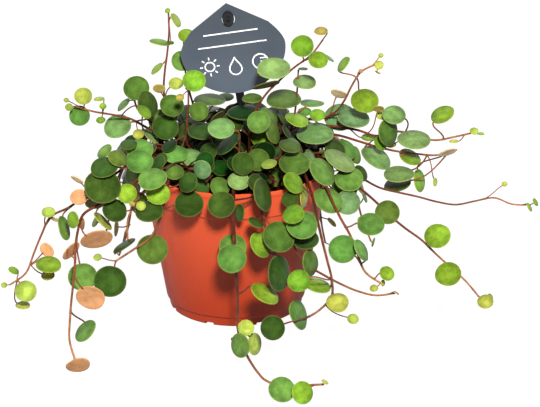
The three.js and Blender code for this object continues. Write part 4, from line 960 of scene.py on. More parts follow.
def back_stem(i, k):
    """Back stems cross the rim, arch down and trail, each a little differently"""
    keys = (BACK_DRAWS + i, k)
    share = i / (BACK_STEMS - 1)
    turn = BACK_FROM + (BACK_TO - BACK_FROM) * share + BACK_SWAY * sway(*keys, 1)
    root = polar(vary(BACK_ROOTS, *keys, 2), turn)
    swing = turn + STEM_BEND * sway(*keys, 3)
    distances = (*BACK_DISTANCES, vary(BACK_END, *keys, 4))
    high = vary(BACK_RISE, *keys, 5)
    drop = BACK_LENGTHS[i] / BACK_DROP_SHARE
    heights = (high, *(high - BACK_STEP - drop * times for times in BACK_DROPS))
    route = []
    for step, (distance, height) in enumerate(zip(distances, heights)):
        at = turn + (swing - turn) * step / (len(distances) - 1)
        route.append((*polar(distance, at), max(height, LOWEST_POINT)))
    return root, route


def grow_stems(shape, count, fill):
    """Each stem by rule takes the first of its drawn roots and routes that is clear"""
    for i in range(count):
        for k in range(STEM_TRIES):
            root, route = shape(i, k)
            if add_if_clear(f"{fill}_{i + 1:02d}", root, route, fill):
                break


def leaf_radius(share, *keys):
    small, large = CROWN_LEAF_RADIUS
    return share * small + (large - small) * draw(*keys)


def crown_lift(height):
    return HIGH_LIFT if height > HIGH_IN_CROWN else CROWN_LIFT


def fill_stem(stem):
    """Leaves by rule: over the crown on every stem, and to the tip on those at the back"""
    last = len(stem["joints"]) - 1
    at_back = stem["fill"] == "back"
    for i in range(1, last + 1):
        joint = stem["joints"][i]
        in_crown = out_of_axis(joint) < FILL_RADIUS and joint[2] > FILL_HEIGHT
        if at_back or (in_crown and i not in stem["used"]):
            radius = leaf_radius(1, stem["number"], i, 11)
            if at_back:
                radius *= 1 - TAPER * max(0, i / last - TAPER_FROM) / (1 - TAPER_FROM)
            lift = crown_lift(joint[2])
            grow_leaf(stem, i, 0, radius, lift if in_crown else BACK_LIFT)
            if in_crown and joint[2] > SECOND_LEAF_HEIGHT:
                grow_leaf(stem, i, 1, SECOND_LEAF_SIZE * radius, lift)


def thicken_crown():
    """More leaves than the solids hold, wherever the crown has room for them"""
    for side in range(2, 2 + THICKET_LEAVES):
        for stem in STEMS:
            for i, joint in enumerate(stem["joints"][1:], 1):
                if out_of_axis(joint) < THICKET_RADIUS and joint[2] > THICKET_HEIGHT:
                    radius = leaf_radius(THICKET_LEAF_SIZE, stem["number"], i, side)
                    grow_leaf(stem, i, side, radius, crown_lift(joint[2]))


def block_label():
    """The label and its stake, as what grows has to stay clear of them"""
    label_up = np.array((math.sin(LABEL_LEAN), 0, math.cos(LABEL_LEAN)))
    label_side = np.array((math.cos(LABEL_LEAN), 0, -math.sin(LABEL_LEAN)))
    for height, radius in LABEL_BLOCKS:
        GROWN.add_blade({"centre": np.array(LABEL_CENTRE) + label_up * height,
                         "normal": np.array((0, -1.0, 0)), "along": label_up,
                         "across": label_side, "radius": radius, "half": LABEL_BLOCK_HALF})
    top = np.array(LABEL_CENTRE) + label_up * -STAKE_REACH
    top[1] = STAKE_ROOT[1]
    foot = np.array((*STAKE_ROOT, SOIL_TOP - STAKE_REACH))
    GROWN.add_rod(top, foot, STAKE_ROOM, STAKE_STEM)


def grow_plant():
    """The label is in the way, then come the stems, and then the leaves"""
    block_label()
    for name, thick, root, route, *_ in VINES:
        add_stem(name, root, route, thick, "vine")
    grow_stems(crown_stem, CROWN_STEMS, "crown")
    grow_stems(back_stem, BACK_STEMS, "back")
    for (*_, leaves, tones), stem in zip(VINES, STEMS):
        for index, (leaf, tone) in enumerate(zip(leaves, tones)):
            place_leaf(stem, leaf, tone, index)
    for stem in STEMS:
        fill_stem(stem)
    thicken_crown()


def add_object(name, data):
    holder = bpy.data.objects.new(name, data)
    bpy.context.scene.collection.objects.link(holder)
    return holder


def new_mesh(name, points, faces):
    """A mesh in metres from points in millimetres"""
    mesh = bpy.data.meshes.new(name)
    mesh.from_pydata((np.asarray(points) * MM).tolist(), [], faces)
    return mesh


def evaluated_mesh(holder):
    """The mesh that an object's modifiers or curve settings make"""
    graph = bpy.context.evaluated_depsgraph_get()
    return bpy.data.meshes.new_from_object(holder.evaluated_get(graph))


def joined(parts):
    """The points and faces of several shapes as one"""
    points, faces = [], []
    for part_points, part_faces in parts:
        start = len(points)
        points += [tuple(point) for point in part_points]
        faces += [tuple(start + i for i in face) for face in part_faces]
    return points, faces


def mesh_object(name, points, faces, materials, slot, replaced):
    """A piece from points in millimetres and faces, smooth but for its sharp edges"""
    return finish_piece(new_mesh(name, points, faces), name, materials, replaced)


def finish_piece(mesh, name, materials, replaced):
    mesh.name = name
    mesh.validate()
    mesh.materials.clear()
    for material in materials:
        mesh.materials.append(material)
    mesh.shade_smooth()
    mesh.set_sharp_from_angle(angle=SHARP_ANGLE)
    piece = add_object(name, mesh)
    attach(piece, "root")
    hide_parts(*replaced)
    return piece


def set_attribute(piece, name, kind, values):
    """A value at each point: three numbers for a FLOAT_VECTOR, four for a FLOAT_COLOR"""
    attribute = piece.data.attributes.new(name, kind, "POINT")
    field = "color" if kind == "FLOAT_COLOR" else "vector"
    attribute.data.foreach_set(field, np.asarray(values, np.float32).ravel())


class Nodes:
    """A material and short ways to add nodes to it"""

    def __init__(self, name, roughness=0.5, specular=0.5, coat=0.0, coat_roughness=0.2):
        self.material = bpy.data.materials.new(name)
        self.material.use_nodes = True
        self.tree = self.material.node_tree
        self.shader = self.tree.nodes["Principled BSDF"]
        self.to_shader("Roughness", roughness)
        self.to_shader("Specular IOR Level", specular)
        self.to_shader("Coat Weight", coat)
        self.to_shader("Coat Roughness", coat_roughness)

    def add(self, kind):
        return self.tree.nodes.new(f"ShaderNode{kind}")

    def fill(self, socket, value):
        """Links another node's output to a socket, or sets the socket to a value"""
        if isinstance(value, bpy.types.NodeSocket):
            self.tree.links.new(value, socket)
        elif isinstance(value, tuple) and len(value) == 3 and socket.type == "RGBA":
            socket.default_value = (*value, 1)
        else:
            socket.default_value = value

    def to_shader(self, name, value):
        self.fill(self.shader.inputs[name], value)

    def place(self):
        return self.add("TexCoord").outputs["Object"]

    def attribute(self, name, output="Color"):
        node = self.add("Attribute")
        node.attribute_name = name
        return node.outputs[output]

    def split(self, vector):
        node = self.add("SeparateXYZ")
        self.fill(node.inputs[0], vector)
        return node.outputs

    def noise(self, scale, detail=3.0, roughness=0.5, vector=None, distortion=0.0):
        node = self.add("TexNoise")
        settings = {"Vector": vector or self.place(), "Scale": scale, "Detail": detail,
                    "Roughness": roughness, "Distortion": distortion}
        for name, value in settings.items():
            self.fill(node.inputs[name], value)
        return node.outputs["Fac"]

    def maths(self, operation, first, second=0.0):
        node = self.add("Math")
        node.operation = operation
        self.fill(node.inputs[0], first)
        self.fill(node.inputs[1], second)
        return node.outputs[0]

    def product(self, first, second):
        return self.maths("MULTIPLY", first, second)

    def distance(self, x, y):
        squares = self.maths("ADD", self.product(x, x), self.product(y, y))
        return self.maths("SQRT", squares)

    def ramp(self, value, low, high, to_low=0.0, to_high=1.0, smooth=True):
        node = self.add("MapRange")
        node.interpolation_type = "SMOOTHSTEP" if smooth else "LINEAR"
        for socket, given in zip(node.inputs, (value, low, high, to_low, to_high)):
            self.fill(socket, given)
        return node.outputs[0]

    def over(self, noise, least, most):
        """A value that a noise moves between two limits"""
        return self.ramp(noise, *NOISE_SPAN, least, most)

    def mix(self, share, first, second):
        node = self.add("Mix")
        node.data_type = "RGBA"
        self.fill(node.inputs["Factor"], share)
        self.fill(node.inputs[6], first)
        self.fill(node.inputs[7], second)
        return node.outputs[2]

    def scaled(self, colour, amount):
        node = self.add("VectorMath")
        node.operation = "SCALE"
        self.fill(node.inputs[0], colour)
        self.fill(node.inputs["Scale"], amount)
        return node.outputs[0]

    def mottled(self, colour, noise, least, most):
        """A colour that a noise makes darker and lighter"""
        return self.scaled(colour, self.over(noise, least, most))

    def stretched(self, x, y, z):
        node = self.add("Mapping")
        self.fill(node.inputs["Vector"], self.place())
        node.inputs["Scale"].default_value = (x, y, z)
        return node.outputs[0]

    def bump(self, height, strength, distance):
        node = self.add("Bump")
        self.fill(node.inputs["Strength"], strength)
        self.fill(node.inputs["Distance"], distance)
        self.fill(node.inputs["Height"], height)
        self.to_shader("Normal", node.outputs[0])


def leaf_veins(nodes, x, y, reach):
    """Thin lines that fan out from the stalk and end before the rim"""
    ahead = nodes.maths("ADD", x, 1.1)
    turn = nodes.maths("DIVIDE", nodes.maths("ARCTAN2", y, ahead), 0.42)
    off = nodes.maths("ABSOLUTE", nodes.maths("SUBTRACT", turn, nodes.maths("ROUND", turn)))
    veins = nodes.ramp(nodes.product(off, nodes.distance(ahead, y)), 0.0, 0.11, 1.0, 0.0)
    return nodes.product(veins, nodes.ramp(reach, 0.6, 0.95, 1.0, 0.0))


def leaf_material():
    """Succulent blade: a paler rim, partly its own margin and partly a painted highlight, paler
    veins, mottled green with painted shade toward the rim, satin gloss, duller underside
    """
    nodes = Nodes("leaf_blade", specular=0.24)
    x, y, side = nodes.split(nodes.attribute("leaf_at", "Vector"))
    reach = nodes.distance(x, y)
    upper = nodes.ramp(side, -0.4, 0.4)
    rim = nodes.ramp(reach, 0.9, 1.0)
    veins = leaf_veins(nodes, x, y, reach)
    tint = nodes.attribute("leaf_tint")
    mottle = nodes.noise(260, 4, 0.6)
    green = nodes.mottled(tint, mottle, 0.76, 1.24)
    green = nodes.mottled(green, nodes.noise(75, 2, 0.5), 0.84, 1.18)
    green = nodes.scaled(green, nodes.ramp(x, -1.0, 0.6, 0.86, 1.1))
    # Painted shade: lighter in the middle and darker toward the rim, as light falls on a domed
    # blade
    green = nodes.scaled(green, nodes.ramp(reach, 0.35, 0.95, 1.1, 0.84))
    green = nodes.mix(nodes.product(veins, 0.3), green, nodes.scaled(tint, 1.5))
    # The rim: partly its own paler margin, partly a painted edge highlight
    rim_and_highlight = nodes.mix(0.3, nodes.scaled(tint, 1.7), RIM_AND_HIGHLIGHT_COLOUR)
    green = nodes.mix(nodes.product(rim, 0.45), green, rim_and_highlight)
    under = nodes.mottled(nodes.attribute("leaf_under"), mottle, 0.85, 1.15)
    under = nodes.mix(nodes.product(veins, 0.4), under, nodes.scaled(under, 0.72))
    nodes.to_shader("Base Color", nodes.mix(upper, under, green))
    gloss = nodes.ramp(mottle, 0.25, 0.75, 0.28, 0.4)
    nodes.to_shader("Roughness", nodes.mix(upper, (0.6, 0.6, 0.6), gloss))
    relief = nodes.maths("SUBTRACT", nodes.noise(500, 2), nodes.product(veins, 0.5))
    nodes.bump(relief, 0.2, 0.0002)
    return nodes.material


def stalk_material():
    """Wiry red stems: streaked along, with small scars"""
    nodes = Nodes("stem_skin", specular=0.45)
    streak = nodes.noise(420, 4, 0.6)
    colour = nodes.mottled(nodes.attribute("stalk_tint"), streak, 0.7, 1.3)
    nodes.to_shader("Base Color", nodes.mottled(colour, nodes.noise(90, 2), 0.75, 1.25))
    nodes.to_shader("Roughness", nodes.over(streak, 0.36, 0.58))
    nodes.bump(streak, 0.3, 0.0002)
    return nodes.material


def pot_material():
    """Thin moulded plastic: fine grain, faint flow marks, painted shade low down and painted light
    near the top, and a few worn places
    """
    nodes = Nodes("pot_plastic", specular=0.3)
    grain = nodes.noise(1500, 3, 0.6)
    flow = nodes.noise(9, 4, 0.55, nodes.stretched(1, 1, 0.35), 0.6)
    scuff = nodes.noise(160, 5, 0.65, nodes.stretched(1, 1, 0.25))
    height = nodes.split(nodes.place())[2]
    # Painted shade and light: the colour darkens toward the foot and pales toward the rim band
    colour = nodes.mix(nodes.ramp(height, 0.0, 0.07), *POT_SHADE_AND_LIGHT_COLOURS)
    colour = nodes.mottled(nodes.mottled(colour, flow, 0.92, 1.08), grain, 0.96, 1.04)
    worn = nodes.product(nodes.ramp(scuff, 0.6, 0.78), 0.14)
    nodes.to_shader("Base Color", nodes.mix(worn, colour, POT_WORN))
    nodes.to_shader("Roughness", nodes.over(scuff, 0.44, 0.6))
    nodes.bump(nodes.maths("ADD", nodes.product(grain, 0.4), flow), 0.25, 0.0002)
    return nodes.material


def soil_material():
    """Moist peat: near black, with brown fibres and a few pale crumbs"""
    nodes = Nodes("peat_crumb", roughness=0.95, specular=0.25)
    crumb = nodes.noise(420, 6, 0.7)
    fibre = nodes.noise(160, 4, 0.6, nodes.stretched(1, 3, 1), 1.5)
    colour = nodes.mix(nodes.ramp(crumb, 0.35, 0.7), *PEAT_COLOURS)
    fibres = nodes.product(nodes.ramp(fibre, 0.62, 0.7), 0.6)
    nodes.to_shader("Base Color", nodes.mix(fibres, colour, PEAT_FIBRE))
    nodes.bump(crumb, 0.8, 0.0012)
    return nodes.material


def label_material():
    """Grey sheet plastic with a fine matte tooth, and painted shade that makes it a little darker
    at its top
    """
    nodes = Nodes("label_plastic", specular=0.5, coat=0.1, coat_roughness=0.35)
    tooth = nodes.noise(2200, 2)
    cloud = nodes.noise(28, 3, 0.5)
    colour = nodes.mix(nodes.over(cloud, 0.0, 1.0), *LABEL_COLOURS)
    # Painted shade: the label darkens toward its top
    dark = nodes.ramp(nodes.split(nodes.place())[2], 0.125, 0.175, 1.0, 0.6)
    nodes.to_shader("Base Color", nodes.scaled(colour, dark))
    nodes.to_shader("Roughness", nodes.over(cloud, 0.36, 0.46))
    nodes.bump(tooth, 0.12, 0.0001)
    return nodes.material


def mark_material():
    """Thin white print, worn a little grey"""
    nodes = Nodes("label_marks", specular=0.4)
    wear = nodes.noise(600, 4, 0.6)
    nodes.to_shader("Base Color", nodes.mix(nodes.ramp(wear, 0.4, 0.75), *MARK_COLOURS))
    nodes.to_shader("Roughness", nodes.over(wear, 0.45, 0.6))
    return nodes.material


def stake_material():
    """Glossy black plastic with scuffs along it"""
    nodes = Nodes("stake_plastic", specular=0.35, coat=0.1, coat_roughness=0.12)
    scuff = nodes.noise(240, 5, 0.65, nodes.stretched(1, 1, 0.2))
    nodes.to_shader("Base Color", nodes.mix(nodes.ramp(scuff, 0.5, 0.8), *STAKE_COLOURS))
    nodes.to_shader("Roughness", nodes.over(scuff, 0.16, 0.3))
    nodes.bump(scuff, 0.15, 0.0002)
    return nodes.material


def lathe(profile, sides):
    """Points and faces of a profile of (radius, height) turned round the pot's axis"""
    points, rings = [], []
    for radius, height in profile:
        if radius == 0:
            rings.append([len(points)] * sides)
            points.append((0, 0, height))
            continue
        rings.append(list(range(len(points), len(points) + sides)))
        points += [(*polar(radius, i / sides * FULL_TURN), height) for i in range(sides)]
    faces = []
    for low, high in zip(rings, rings[1:]):
        for i in range(sides):
            j = (i + 1) % sides
            faces.append(tuple(dict.fromkeys((low[i], low[j], high[j], high[i]))))
    return points, faces


def fillet(corners):
    """A profile from corners of (x, y, size), each rounded by its size, or sharp where it is 0"""
    points = [np.array(corner[:2], float) for corner in corners]
    rounded = []
    for i, (here, (*_, size)) in enumerate(zip(points, corners)):
        if not size:
            rounded.append(tuple(here))
            continue
        before, after = points[i - 1] - here, points[i + 1] - here
        before *= size / np.linalg.norm(before)
        after *= size / np.linalg.norm(after)
        for t in np.linspace(0, 1, 5):
            rounded.append(tuple(here + before * (1 - t) ** 2 + after * t ** 2))
    return rounded


def cut_mesh(name, base, cutters):
    """The base shape with the cutters cut out of it"""
    body, tool = (add_object(name, new_mesh(name, *shape)) for shape in (base, joined(cutters)))
    cut = body.modifiers.new("cut", "BOOLEAN")
    cut.operation = "DIFFERENCE"
    cut.solver = "EXACT"
    cut.use_self = True
    cut.object = tool
    result = evaluated_mesh(body)
    for used in (body, tool):
        bpy.data.objects.remove(used)
    return result


def turned_box(size, centre, turn):
    corners = np.array([(x, y, z) for x in (-0.5, 0.5) for y in (-0.5, 0.5) for z in (-0.5, 0.5)])
    x, y, z = (corners * size + centre).T
    c, s = math.cos(turn), math.sin(turn)
    faces = [(0, 1, 3, 2), (4, 6, 7, 5), (0, 4, 5, 1), (2, 3, 7, 6), (0, 2, 6, 4), (1, 5, 7, 3)]
    return np.c_[x * c - y * s, x * s + y * c, z], faces


def pot_profile():
    """Base, stepped foot, tapering body, rim band, rolled lip and inside"""
    band_low = POT_HEIGHT - RIM_BAND_HEIGHT
    inner_base = pot_radius_at(POT_FLOOR) - POT_WALL
    body_top = pot_radius_at(band_low)
    return fillet([
        (0, 0.35, 0), (18, 0.35, 0.4), (19, 0, 0.4), (POT_BASE_RADIUS - 0.9, 0, 0.6),
        (POT_BASE_RADIUS - 0.2, 0.7, 0.5), (POT_BASE_RADIUS + 0.5, POT_FOOT_HEIGHT - 0.5, 0.4),
        (POT_BODY_FOOT_RADIUS, POT_FOOT_HEIGHT, 0.6), (body_top, band_low, 0.4),
        (body_top + RIM_BAND_STEP, band_low + 0.7, 0.5),
        (POT_TOP_RADIUS - 0.35, POT_HEIGHT - 3.2, 0.5), (POT_TOP_RADIUS, POT_HEIGHT - 2.4, 0.5),
        (POT_TOP_RADIUS, POT_HEIGHT - 0.7, 0.5), (POT_TOP_RADIUS - 0.5, POT_HEIGHT, 0.4),
        (POT_TOP_RADIUS - POT_WALL, POT_HEIGHT, 0.5),
        (body_top - POT_WALL + 0.4, band_low + 1, 0.8), (inner_base + 0.3, POT_FLOOR + 1.4, 0.8),
        (inner_base - 1.8, POT_FLOOR, 0.8), (0, POT_FLOOR, 0),
    ])


def make_pot():
    """A moulded shell with drain holes in its floor and drain slots between them at its edge"""
    cutters = []
    for i in range(DRAIN_HOLES):
        at = (*polar(DRAIN_HOLE_RING, i / DRAIN_HOLES * FULL_TURN), 0)
        points, faces = lathe([(0, -1), (DRAIN_HOLE_RADIUS, -1),
                               (DRAIN_HOLE_RADIUS, POT_FLOOR + 1), (0, POT_FLOOR + 1)], DRAIN_SIDES)
        cutters.append((np.array(points) + at, faces))
        slot_centre = (POT_BASE_RADIUS, 0, DRAIN_SLOT[2] / 2 - 0.5)
        cutters.append(turned_box(DRAIN_SLOT, slot_centre, (i + 0.5) / DRAIN_HOLES * FULL_TURN))
    mesh = cut_mesh("pot_shell", lathe(pot_profile(), POT_SIDES), cutters)
    finish_piece(mesh, "pot_shell", [pot_material()], ["pot"])


def bump_at(x, y):
    """Height of the peat's broad bumps, from -1 to 1"""
    return (math.sin(x * 0.31 + 1.7) * math.cos(y * 0.27) * 0.6
            + math.sin(x * 0.11 - y * 0.19) * 0.4)


def make_soil():
    """A plug whose top is crumbled over the broad bumps"""
    low = POT_FLOOR + SEAT_GAP
    aside, rise = SOIL_FOOT
    low_radius = pot_radius_at(low) - POT_WALL - SOIL_GAP - aside
    top_radius = pot_radius_at(SOIL_TOP - 3) - POT_WALL - SOIL_GAP - 0.3
    profile = [(0, low), (low_radius, low), (low_radius + aside, low + rise),
               (top_radius, SOIL_TOP - SOIL_SHOULDER)]
    for i in range(SOIL_RINGS):
        profile.append((top_radius * (1 - (i + 0.6) / SOIL_RINGS), SOIL_TOP))
    profile.append((0, SOIL_TOP))
    points, faces = lathe(profile, SOIL_SIDES)
    for i, (x, y, z) in enumerate(points):
        if z > SOIL_TOP - 1:
            crumb = noise.noise(Vector((x * 0.35, y * 0.35, 3)))
            grit = noise.noise(Vector((x * 1.1, y * 1.1, 8)))
            broad = SOIL_BUMP * bump_at(x, y)
            points[i] = (x, y, z + broad + SOIL_CRUMB * crumb + SOIL_GRIT * grit)
    mesh_object("peat", points, faces, [soil_material()], "peat", ["soil"])


def stand_up(points, behind=0.0):
    """Turns points drawn facing the viewer, (right, up, toward), into the leaning label's frame"""
    drawn = np.asarray(points, float)
    x, y, z = drawn[:, 0], -drawn[:, 2] + behind, drawn[:, 1]
    c, s = math.cos(LABEL_LEAN), math.sin(LABEL_LEAN)
    return np.c_[x * c + z * s, y, -x * s + z * c] + LABEL_CENTRE


def bezier(a, b, c, d, count, to_end=False):
    t = np.linspace(0, 1, count, endpoint=to_end)[:, None]
    a, b, c, d = (np.array(p, float) for p in (a, b, c, d))
    return a * (1 - t) ** 3 + 3 * b * t * (1 - t) ** 2 + 3 * c * t ** 2 * (1 - t) + d * t ** 3


def label_outline():
    """A point, straight shoulders and a broad round body, drawn to the left and then back"""
    side, high = LABEL_SHOULDER
    wide, low = LABEL_HALF_WIDTH, LABEL_BOTTOM
    shoulder = np.array((-side, high), float)
    waist = np.array((-wide, 0), float)
    knee = np.array((-wide + 0.4, high - 8))
    left = np.vstack([
        (0, LABEL_APEX_HEIGHT),
        bezier(shoulder, shoulder + (knee - shoulder) * 2 / 3, waist + (knee - waist) * 2 / 3,
               waist, 20),
        bezier(waist, (-wide, -15), (-14, -low), (0, -low), 36),
    ])
    return np.vstack([left, [(0, -low)], left[1:][::-1] * (-1, 1)])


def flat_curve(name, loops, thickness, bevel):
    """Points and faces of a flat shape with rounded edges, drawn facing the viewer"""
    curve = bpy.data.curves.new(name, "CURVE")
    curve.dimensions = "2D"
    curve.fill_mode = "BOTH"
    curve.extrude = thickness / 2 - bevel
    curve.bevel_depth = bevel
    curve.bevel_resolution = 2
    curve.offset = -bevel
    for loop in loops:
        spline = curve.splines.new("POLY")
        spline.points.add(len(loop) - 1)
        for point, (x, y) in zip(spline.points, loop):
            point.co = (x, y, 0, 1)
        spline.use_cyclic_u = True
    holder = add_object(name, curve)
    mesh = evaluated_mesh(holder)
    bpy.data.objects.remove(holder)
    return [tuple(v.co) for v in mesh.vertices], [tuple(p.vertices) for p in mesh.polygons]


def circle(x, y, radius, count=40, start=0.0, sweep=FULL_TURN):
    turns = start + np.linspace(0, sweep, count, endpoint=False)
    return np.c_[x + radius * np.cos(turns), y + radius * np.sin(turns)]


def ribbon(line, width, closed=False):
    """Points and faces of a thin raised line on the label's face"""
    line = np.asarray(line, float)
    if closed:
        way = np.roll(line, -1, 0) - np.roll(line, 1, 0)
    else:
        way = np.gradient(line, axis=0)
    way /= np.linalg.norm(way, axis=1)[:, None]
    side = np.c_[-way[:, 1], way[:, 0]] * width / 2
    low, high = LABEL_THICKNESS / 2 - MARK_DEEP, LABEL_THICKNESS / 2 + MARK_HIGH
    count = len(line)
    points = np.vstack([np.c_[line + side * k, np.full(count, z)]
                        for z in (low, high) for k in (-1, 1)])
    faces = []
    for i in range(count if closed else count - 1):
        j = (i + 1) % count
        for a, b in ((0, 1), (1, 3), (3, 2), (2, 0)):
            faces.append((a * count + i, a * count + j, b * count + j, b * count + i))
    if not closed:
        faces.append((0, count, 3 * count, 2 * count))
        faces.append((count - 1, 3 * count - 1, 4 * count - 1, 2 * count - 1))
    return points, faces


def sun_marks():
    marks = [ribbon(circle(*SUN, SUN_RADIUS), MARK_WIDTH, True)]
    for i in range(SUN_RAYS):
        way = np.array(polar(1, i / SUN_RAYS * FULL_TURN))
        marks.append(ribbon([SUN + way * reach for reach in SUN_RAY], SUN_RAY_WIDTH))
    return marks


def drop_mark():
    side, low = DROP_RADIUS, DROP_MIDDLE
    outline = [bezier((0, DROP_TOP), (-1, 2.6), (-side, 0.6), (-side, low), 12),
               circle(0, low, side, 16, math.pi, math.pi),
               bezier((side, low), (side, 0.6), (1, 2.6), (0, DROP_TOP), 12)]
    return ribbon(np.vstack(outline) + DROP, MARK_WIDTH, True)


def shade_marks():
    """A disc with lines across its right half"""
    x, y = SHADE
    marks = [ribbon(circle(x, y, SHADE_RADIUS), MARK_WIDTH, True)]
    for step in SHADE_LINES:
        reach = math.sqrt(SHADE_LINE_REACH ** 2 - step ** 2)
        line = [(x + reach * part, y + step) for part in (0, 0.5, 1)]
        marks.append(ribbon(line, THIN_MARK_WIDTH))
    return marks


def label_marks():
    """Two ruled lines to write on, and plain care signs: a sun, a drop and a half-shaded disc"""
    lines = [ribbon([(-half, height), (0, height), (half, height)], MARK_WIDTH)
             for height, half in RULED_LINES]
    return [*lines, *sun_marks(), drop_mark(), *shade_marks()]


def make_label():
    hole = circle(0, LABEL_HOLE_HEIGHT, LABEL_HOLE_RADIUS)
    sheet = flat_curve("label_sheet", [label_outline(), hole], LABEL_THICKNESS, LABEL_EDGE)
    points, faces = joined([sheet, *label_marks()])
    piece = mesh_object("label_sheet", stand_up(points), faces,
                        [label_material(), mark_material()], "label_plastic", ["label_plate"])
    plain = len(sheet[1])
    piece.data.polygons.foreach_set("material_index", [0] * plain + [1] * (len(faces) - plain))


def make_peg():
    """A domed peg through the label's hole, its head a little taller than wide"""
    reach = LABEL_THICKNESS + 2.4
    profile = fillet([(0, -0.8, 0), (2.4, -0.8, 0.2), (2.4, reach - 1.2, 0.2),
                      (3.3, reach - 1.1, 0.2), (3.2, reach - 0.1, 0.4), (1.2, reach - 0.1, 0.3),
                      (0.9, reach - 0.5, 0.2), (0, reach - 0.5, 0)])
    points, faces = lathe(profile, PEG_SIDES)
    x, y, z = np.array(points).T
    tall = np.where(z > reach - 1.4, 1.3, 1.0)
    return np.c_[x, y * tall + LABEL_HOLE_HEIGHT + 0.8, z], faces


def make_stake():
    """A flat bar behind the label, pointed at its foot, and the peg that holds the label"""
    top = LABEL_HOLE_HEIGHT + STAKE_OVER_HOLE
    low = STAKE_FOOT - LABEL_CENTRE[2]
    half = STAKE_WIDTH / 2
    outline = np.vstack([[(-half, top), (-half, low + STAKE_POINT), (0, low),
                          (half, low + STAKE_POINT)], circle(0, top, half, 24, 0, math.pi)])
    bar, bar_faces = flat_curve("label_post", [outline], STAKE_THICKNESS, STAKE_EDGE)
    peg, peg_faces = make_peg()
    behind = LABEL_THICKNESS / 2 + STAKE_BEHIND
    points, faces = joined([(stand_up(bar, behind + STAKE_THICKNESS / 2), bar_faces),
                            (stand_up(peg, behind), peg_faces)])
    mesh_object("label_post", points, faces, [stake_material()], "stake_plastic", ["label_stake"])


def tube(path, radii, sides):
    """Points and faces of a round tube along a path, its far end drawn in"""
    path = np.asarray(path, float)
    way = np.gradient(path, axis=0)
    way /= np.linalg.norm(way, axis=1)[:, None]
    across = np.cross(way[0], FIRST_ACROSS)
    points = []
    turns = np.arange(sides) / sides * FULL_TURN
    for here, ahead, radius in zip(path, way, radii):
        across = unit(across - ahead * across.dot(ahead))
        other = np.cross(ahead, across)
        points.append(here + radius * (np.cos(turns)[:, None] * across
                                       + np.sin(turns)[:, None] * other))
    count = len(path)
    points = np.vstack(points + [path[:1], path[-1:] + way[-1] * radii[-1] * TUBE_END])
    start, end, last = count * sides, count * sides + 1, (count - 1) * sides
    steps = [(k, (k + 1) % sides) for k in range(sides)]
    faces = [(i + k, i + j, i + sides + j, i + sides + k)
             for i in range(0, last, sides) for k, j in steps]
    for k, j in steps:
        faces += [(start, j, k), (end, last + k, last + j)]
    return points, faces


def leaf_template():
    """A round blade in leaf units: (along, across), which side, and its faces"""
    turns = np.arange(RIM_POINTS) / RIM_POINTS * FULL_TURN
    rim = np.c_[np.cos(turns), np.sin(turns)]
    rings = [*zip(RING_REACH, RING_THICK), (1.0, 0.0)]
    rings += [(reach, -thick) for reach, thick in rings[-2::-1]]
    at = np.vstack([np.zeros((1, 2)), *(rim * reach for reach, _ in rings), np.zeros((1, 2))])
    side = np.array([1.0, *np.repeat([thick for _, thick in rings], RIM_POINTS), -1.0])
    last = 1 + (len(rings) - 1) * RIM_POINTS
    faces = []
    for k in range(RIM_POINTS):
        j = (k + 1) % RIM_POINTS
        faces.append((0, 1 + k, 1 + j))
        for a in range(1, last, RIM_POINTS):
            b = a + RIM_POINTS
            faces.append((a + k, b + k, b + j, a + j))
        faces.append((last + k, last + RIM_POINTS, last + j))
    return at, side, faces


LEAF_AT, LEAF_SIDE, LEAF_FACES = leaf_template()


def leaf_points(leaf, keys):
    """A blade with its own outline, dome, fold and droop"""
    radius = leaf["radius"]
    x, y = LEAF_AT.T
    turn = np.arctan2(y, x)
    reach = np.hypot(x, y)
    oval = 0.05 * draw(*keys, 1) - 0.02
    lobes = 0.018 * (draw(*keys, 2) - 0.3)
    tip = 0.035 * draw(*keys, 4)
    notch = 0.05 * draw(*keys, 5)
    outline = (1 + oval * np.cos(2 * turn) + lobes * np.cos(3 * turn + 6 * draw(*keys, 3))
               + tip * np.exp(-((turn / TIP_WIDTH) ** 2))
               - notch * np.exp(-(((math.pi - np.abs(turn)) / NOTCH_WIDTH) ** 2)))
    thick = LEAF_THICKNESS / 2 * thin_if_small(radius) * (1 - 0.25 * reach ** 2)
    dome = 0.1 * radius * (0.1 + 0.8 * draw(*keys, 6))
    fold = 0.07 * radius * (draw(*keys, 7) - 0.25)
    droop = 0.09 * radius * draw(*keys, 8)
    wave = 0.035 * radius * sway(*keys, 9)
    lift = (dome * (0.45 - reach ** 2) + fold * (np.abs(y) - 0.3)
            - droop * np.maximum(x, 0) ** 2 + wave * reach ** 2 * np.sin(3 * turn + keys[0]))
    lift = lift + thick * LEAF_SIDE
    flat = radius * LEAF_SPARE * outline
    return (leaf["centre"] + leaf["along"] * (flat * x)[:, None]
            + leaf["across"] * (flat * y)[:, None] + leaf["normal"] * lift[:, None])


def light_reaches(point):
    """How far a point has left the crown's shade: 0 deep inside, 1 outside"""
    out = out_of_axis(point)
    depth = dome_height(out * out) - point[2]
    return min(1, max(0, (out - SHADE_FROM) / SHADE_SPAN, 1 - depth / SHADE_DEPTH))


def in_light(point, shaded):
    """The share of its colour that a piece keeps at a point, shaded being the least"""
    return shaded + (1 - shaded) * light_reaches(point)


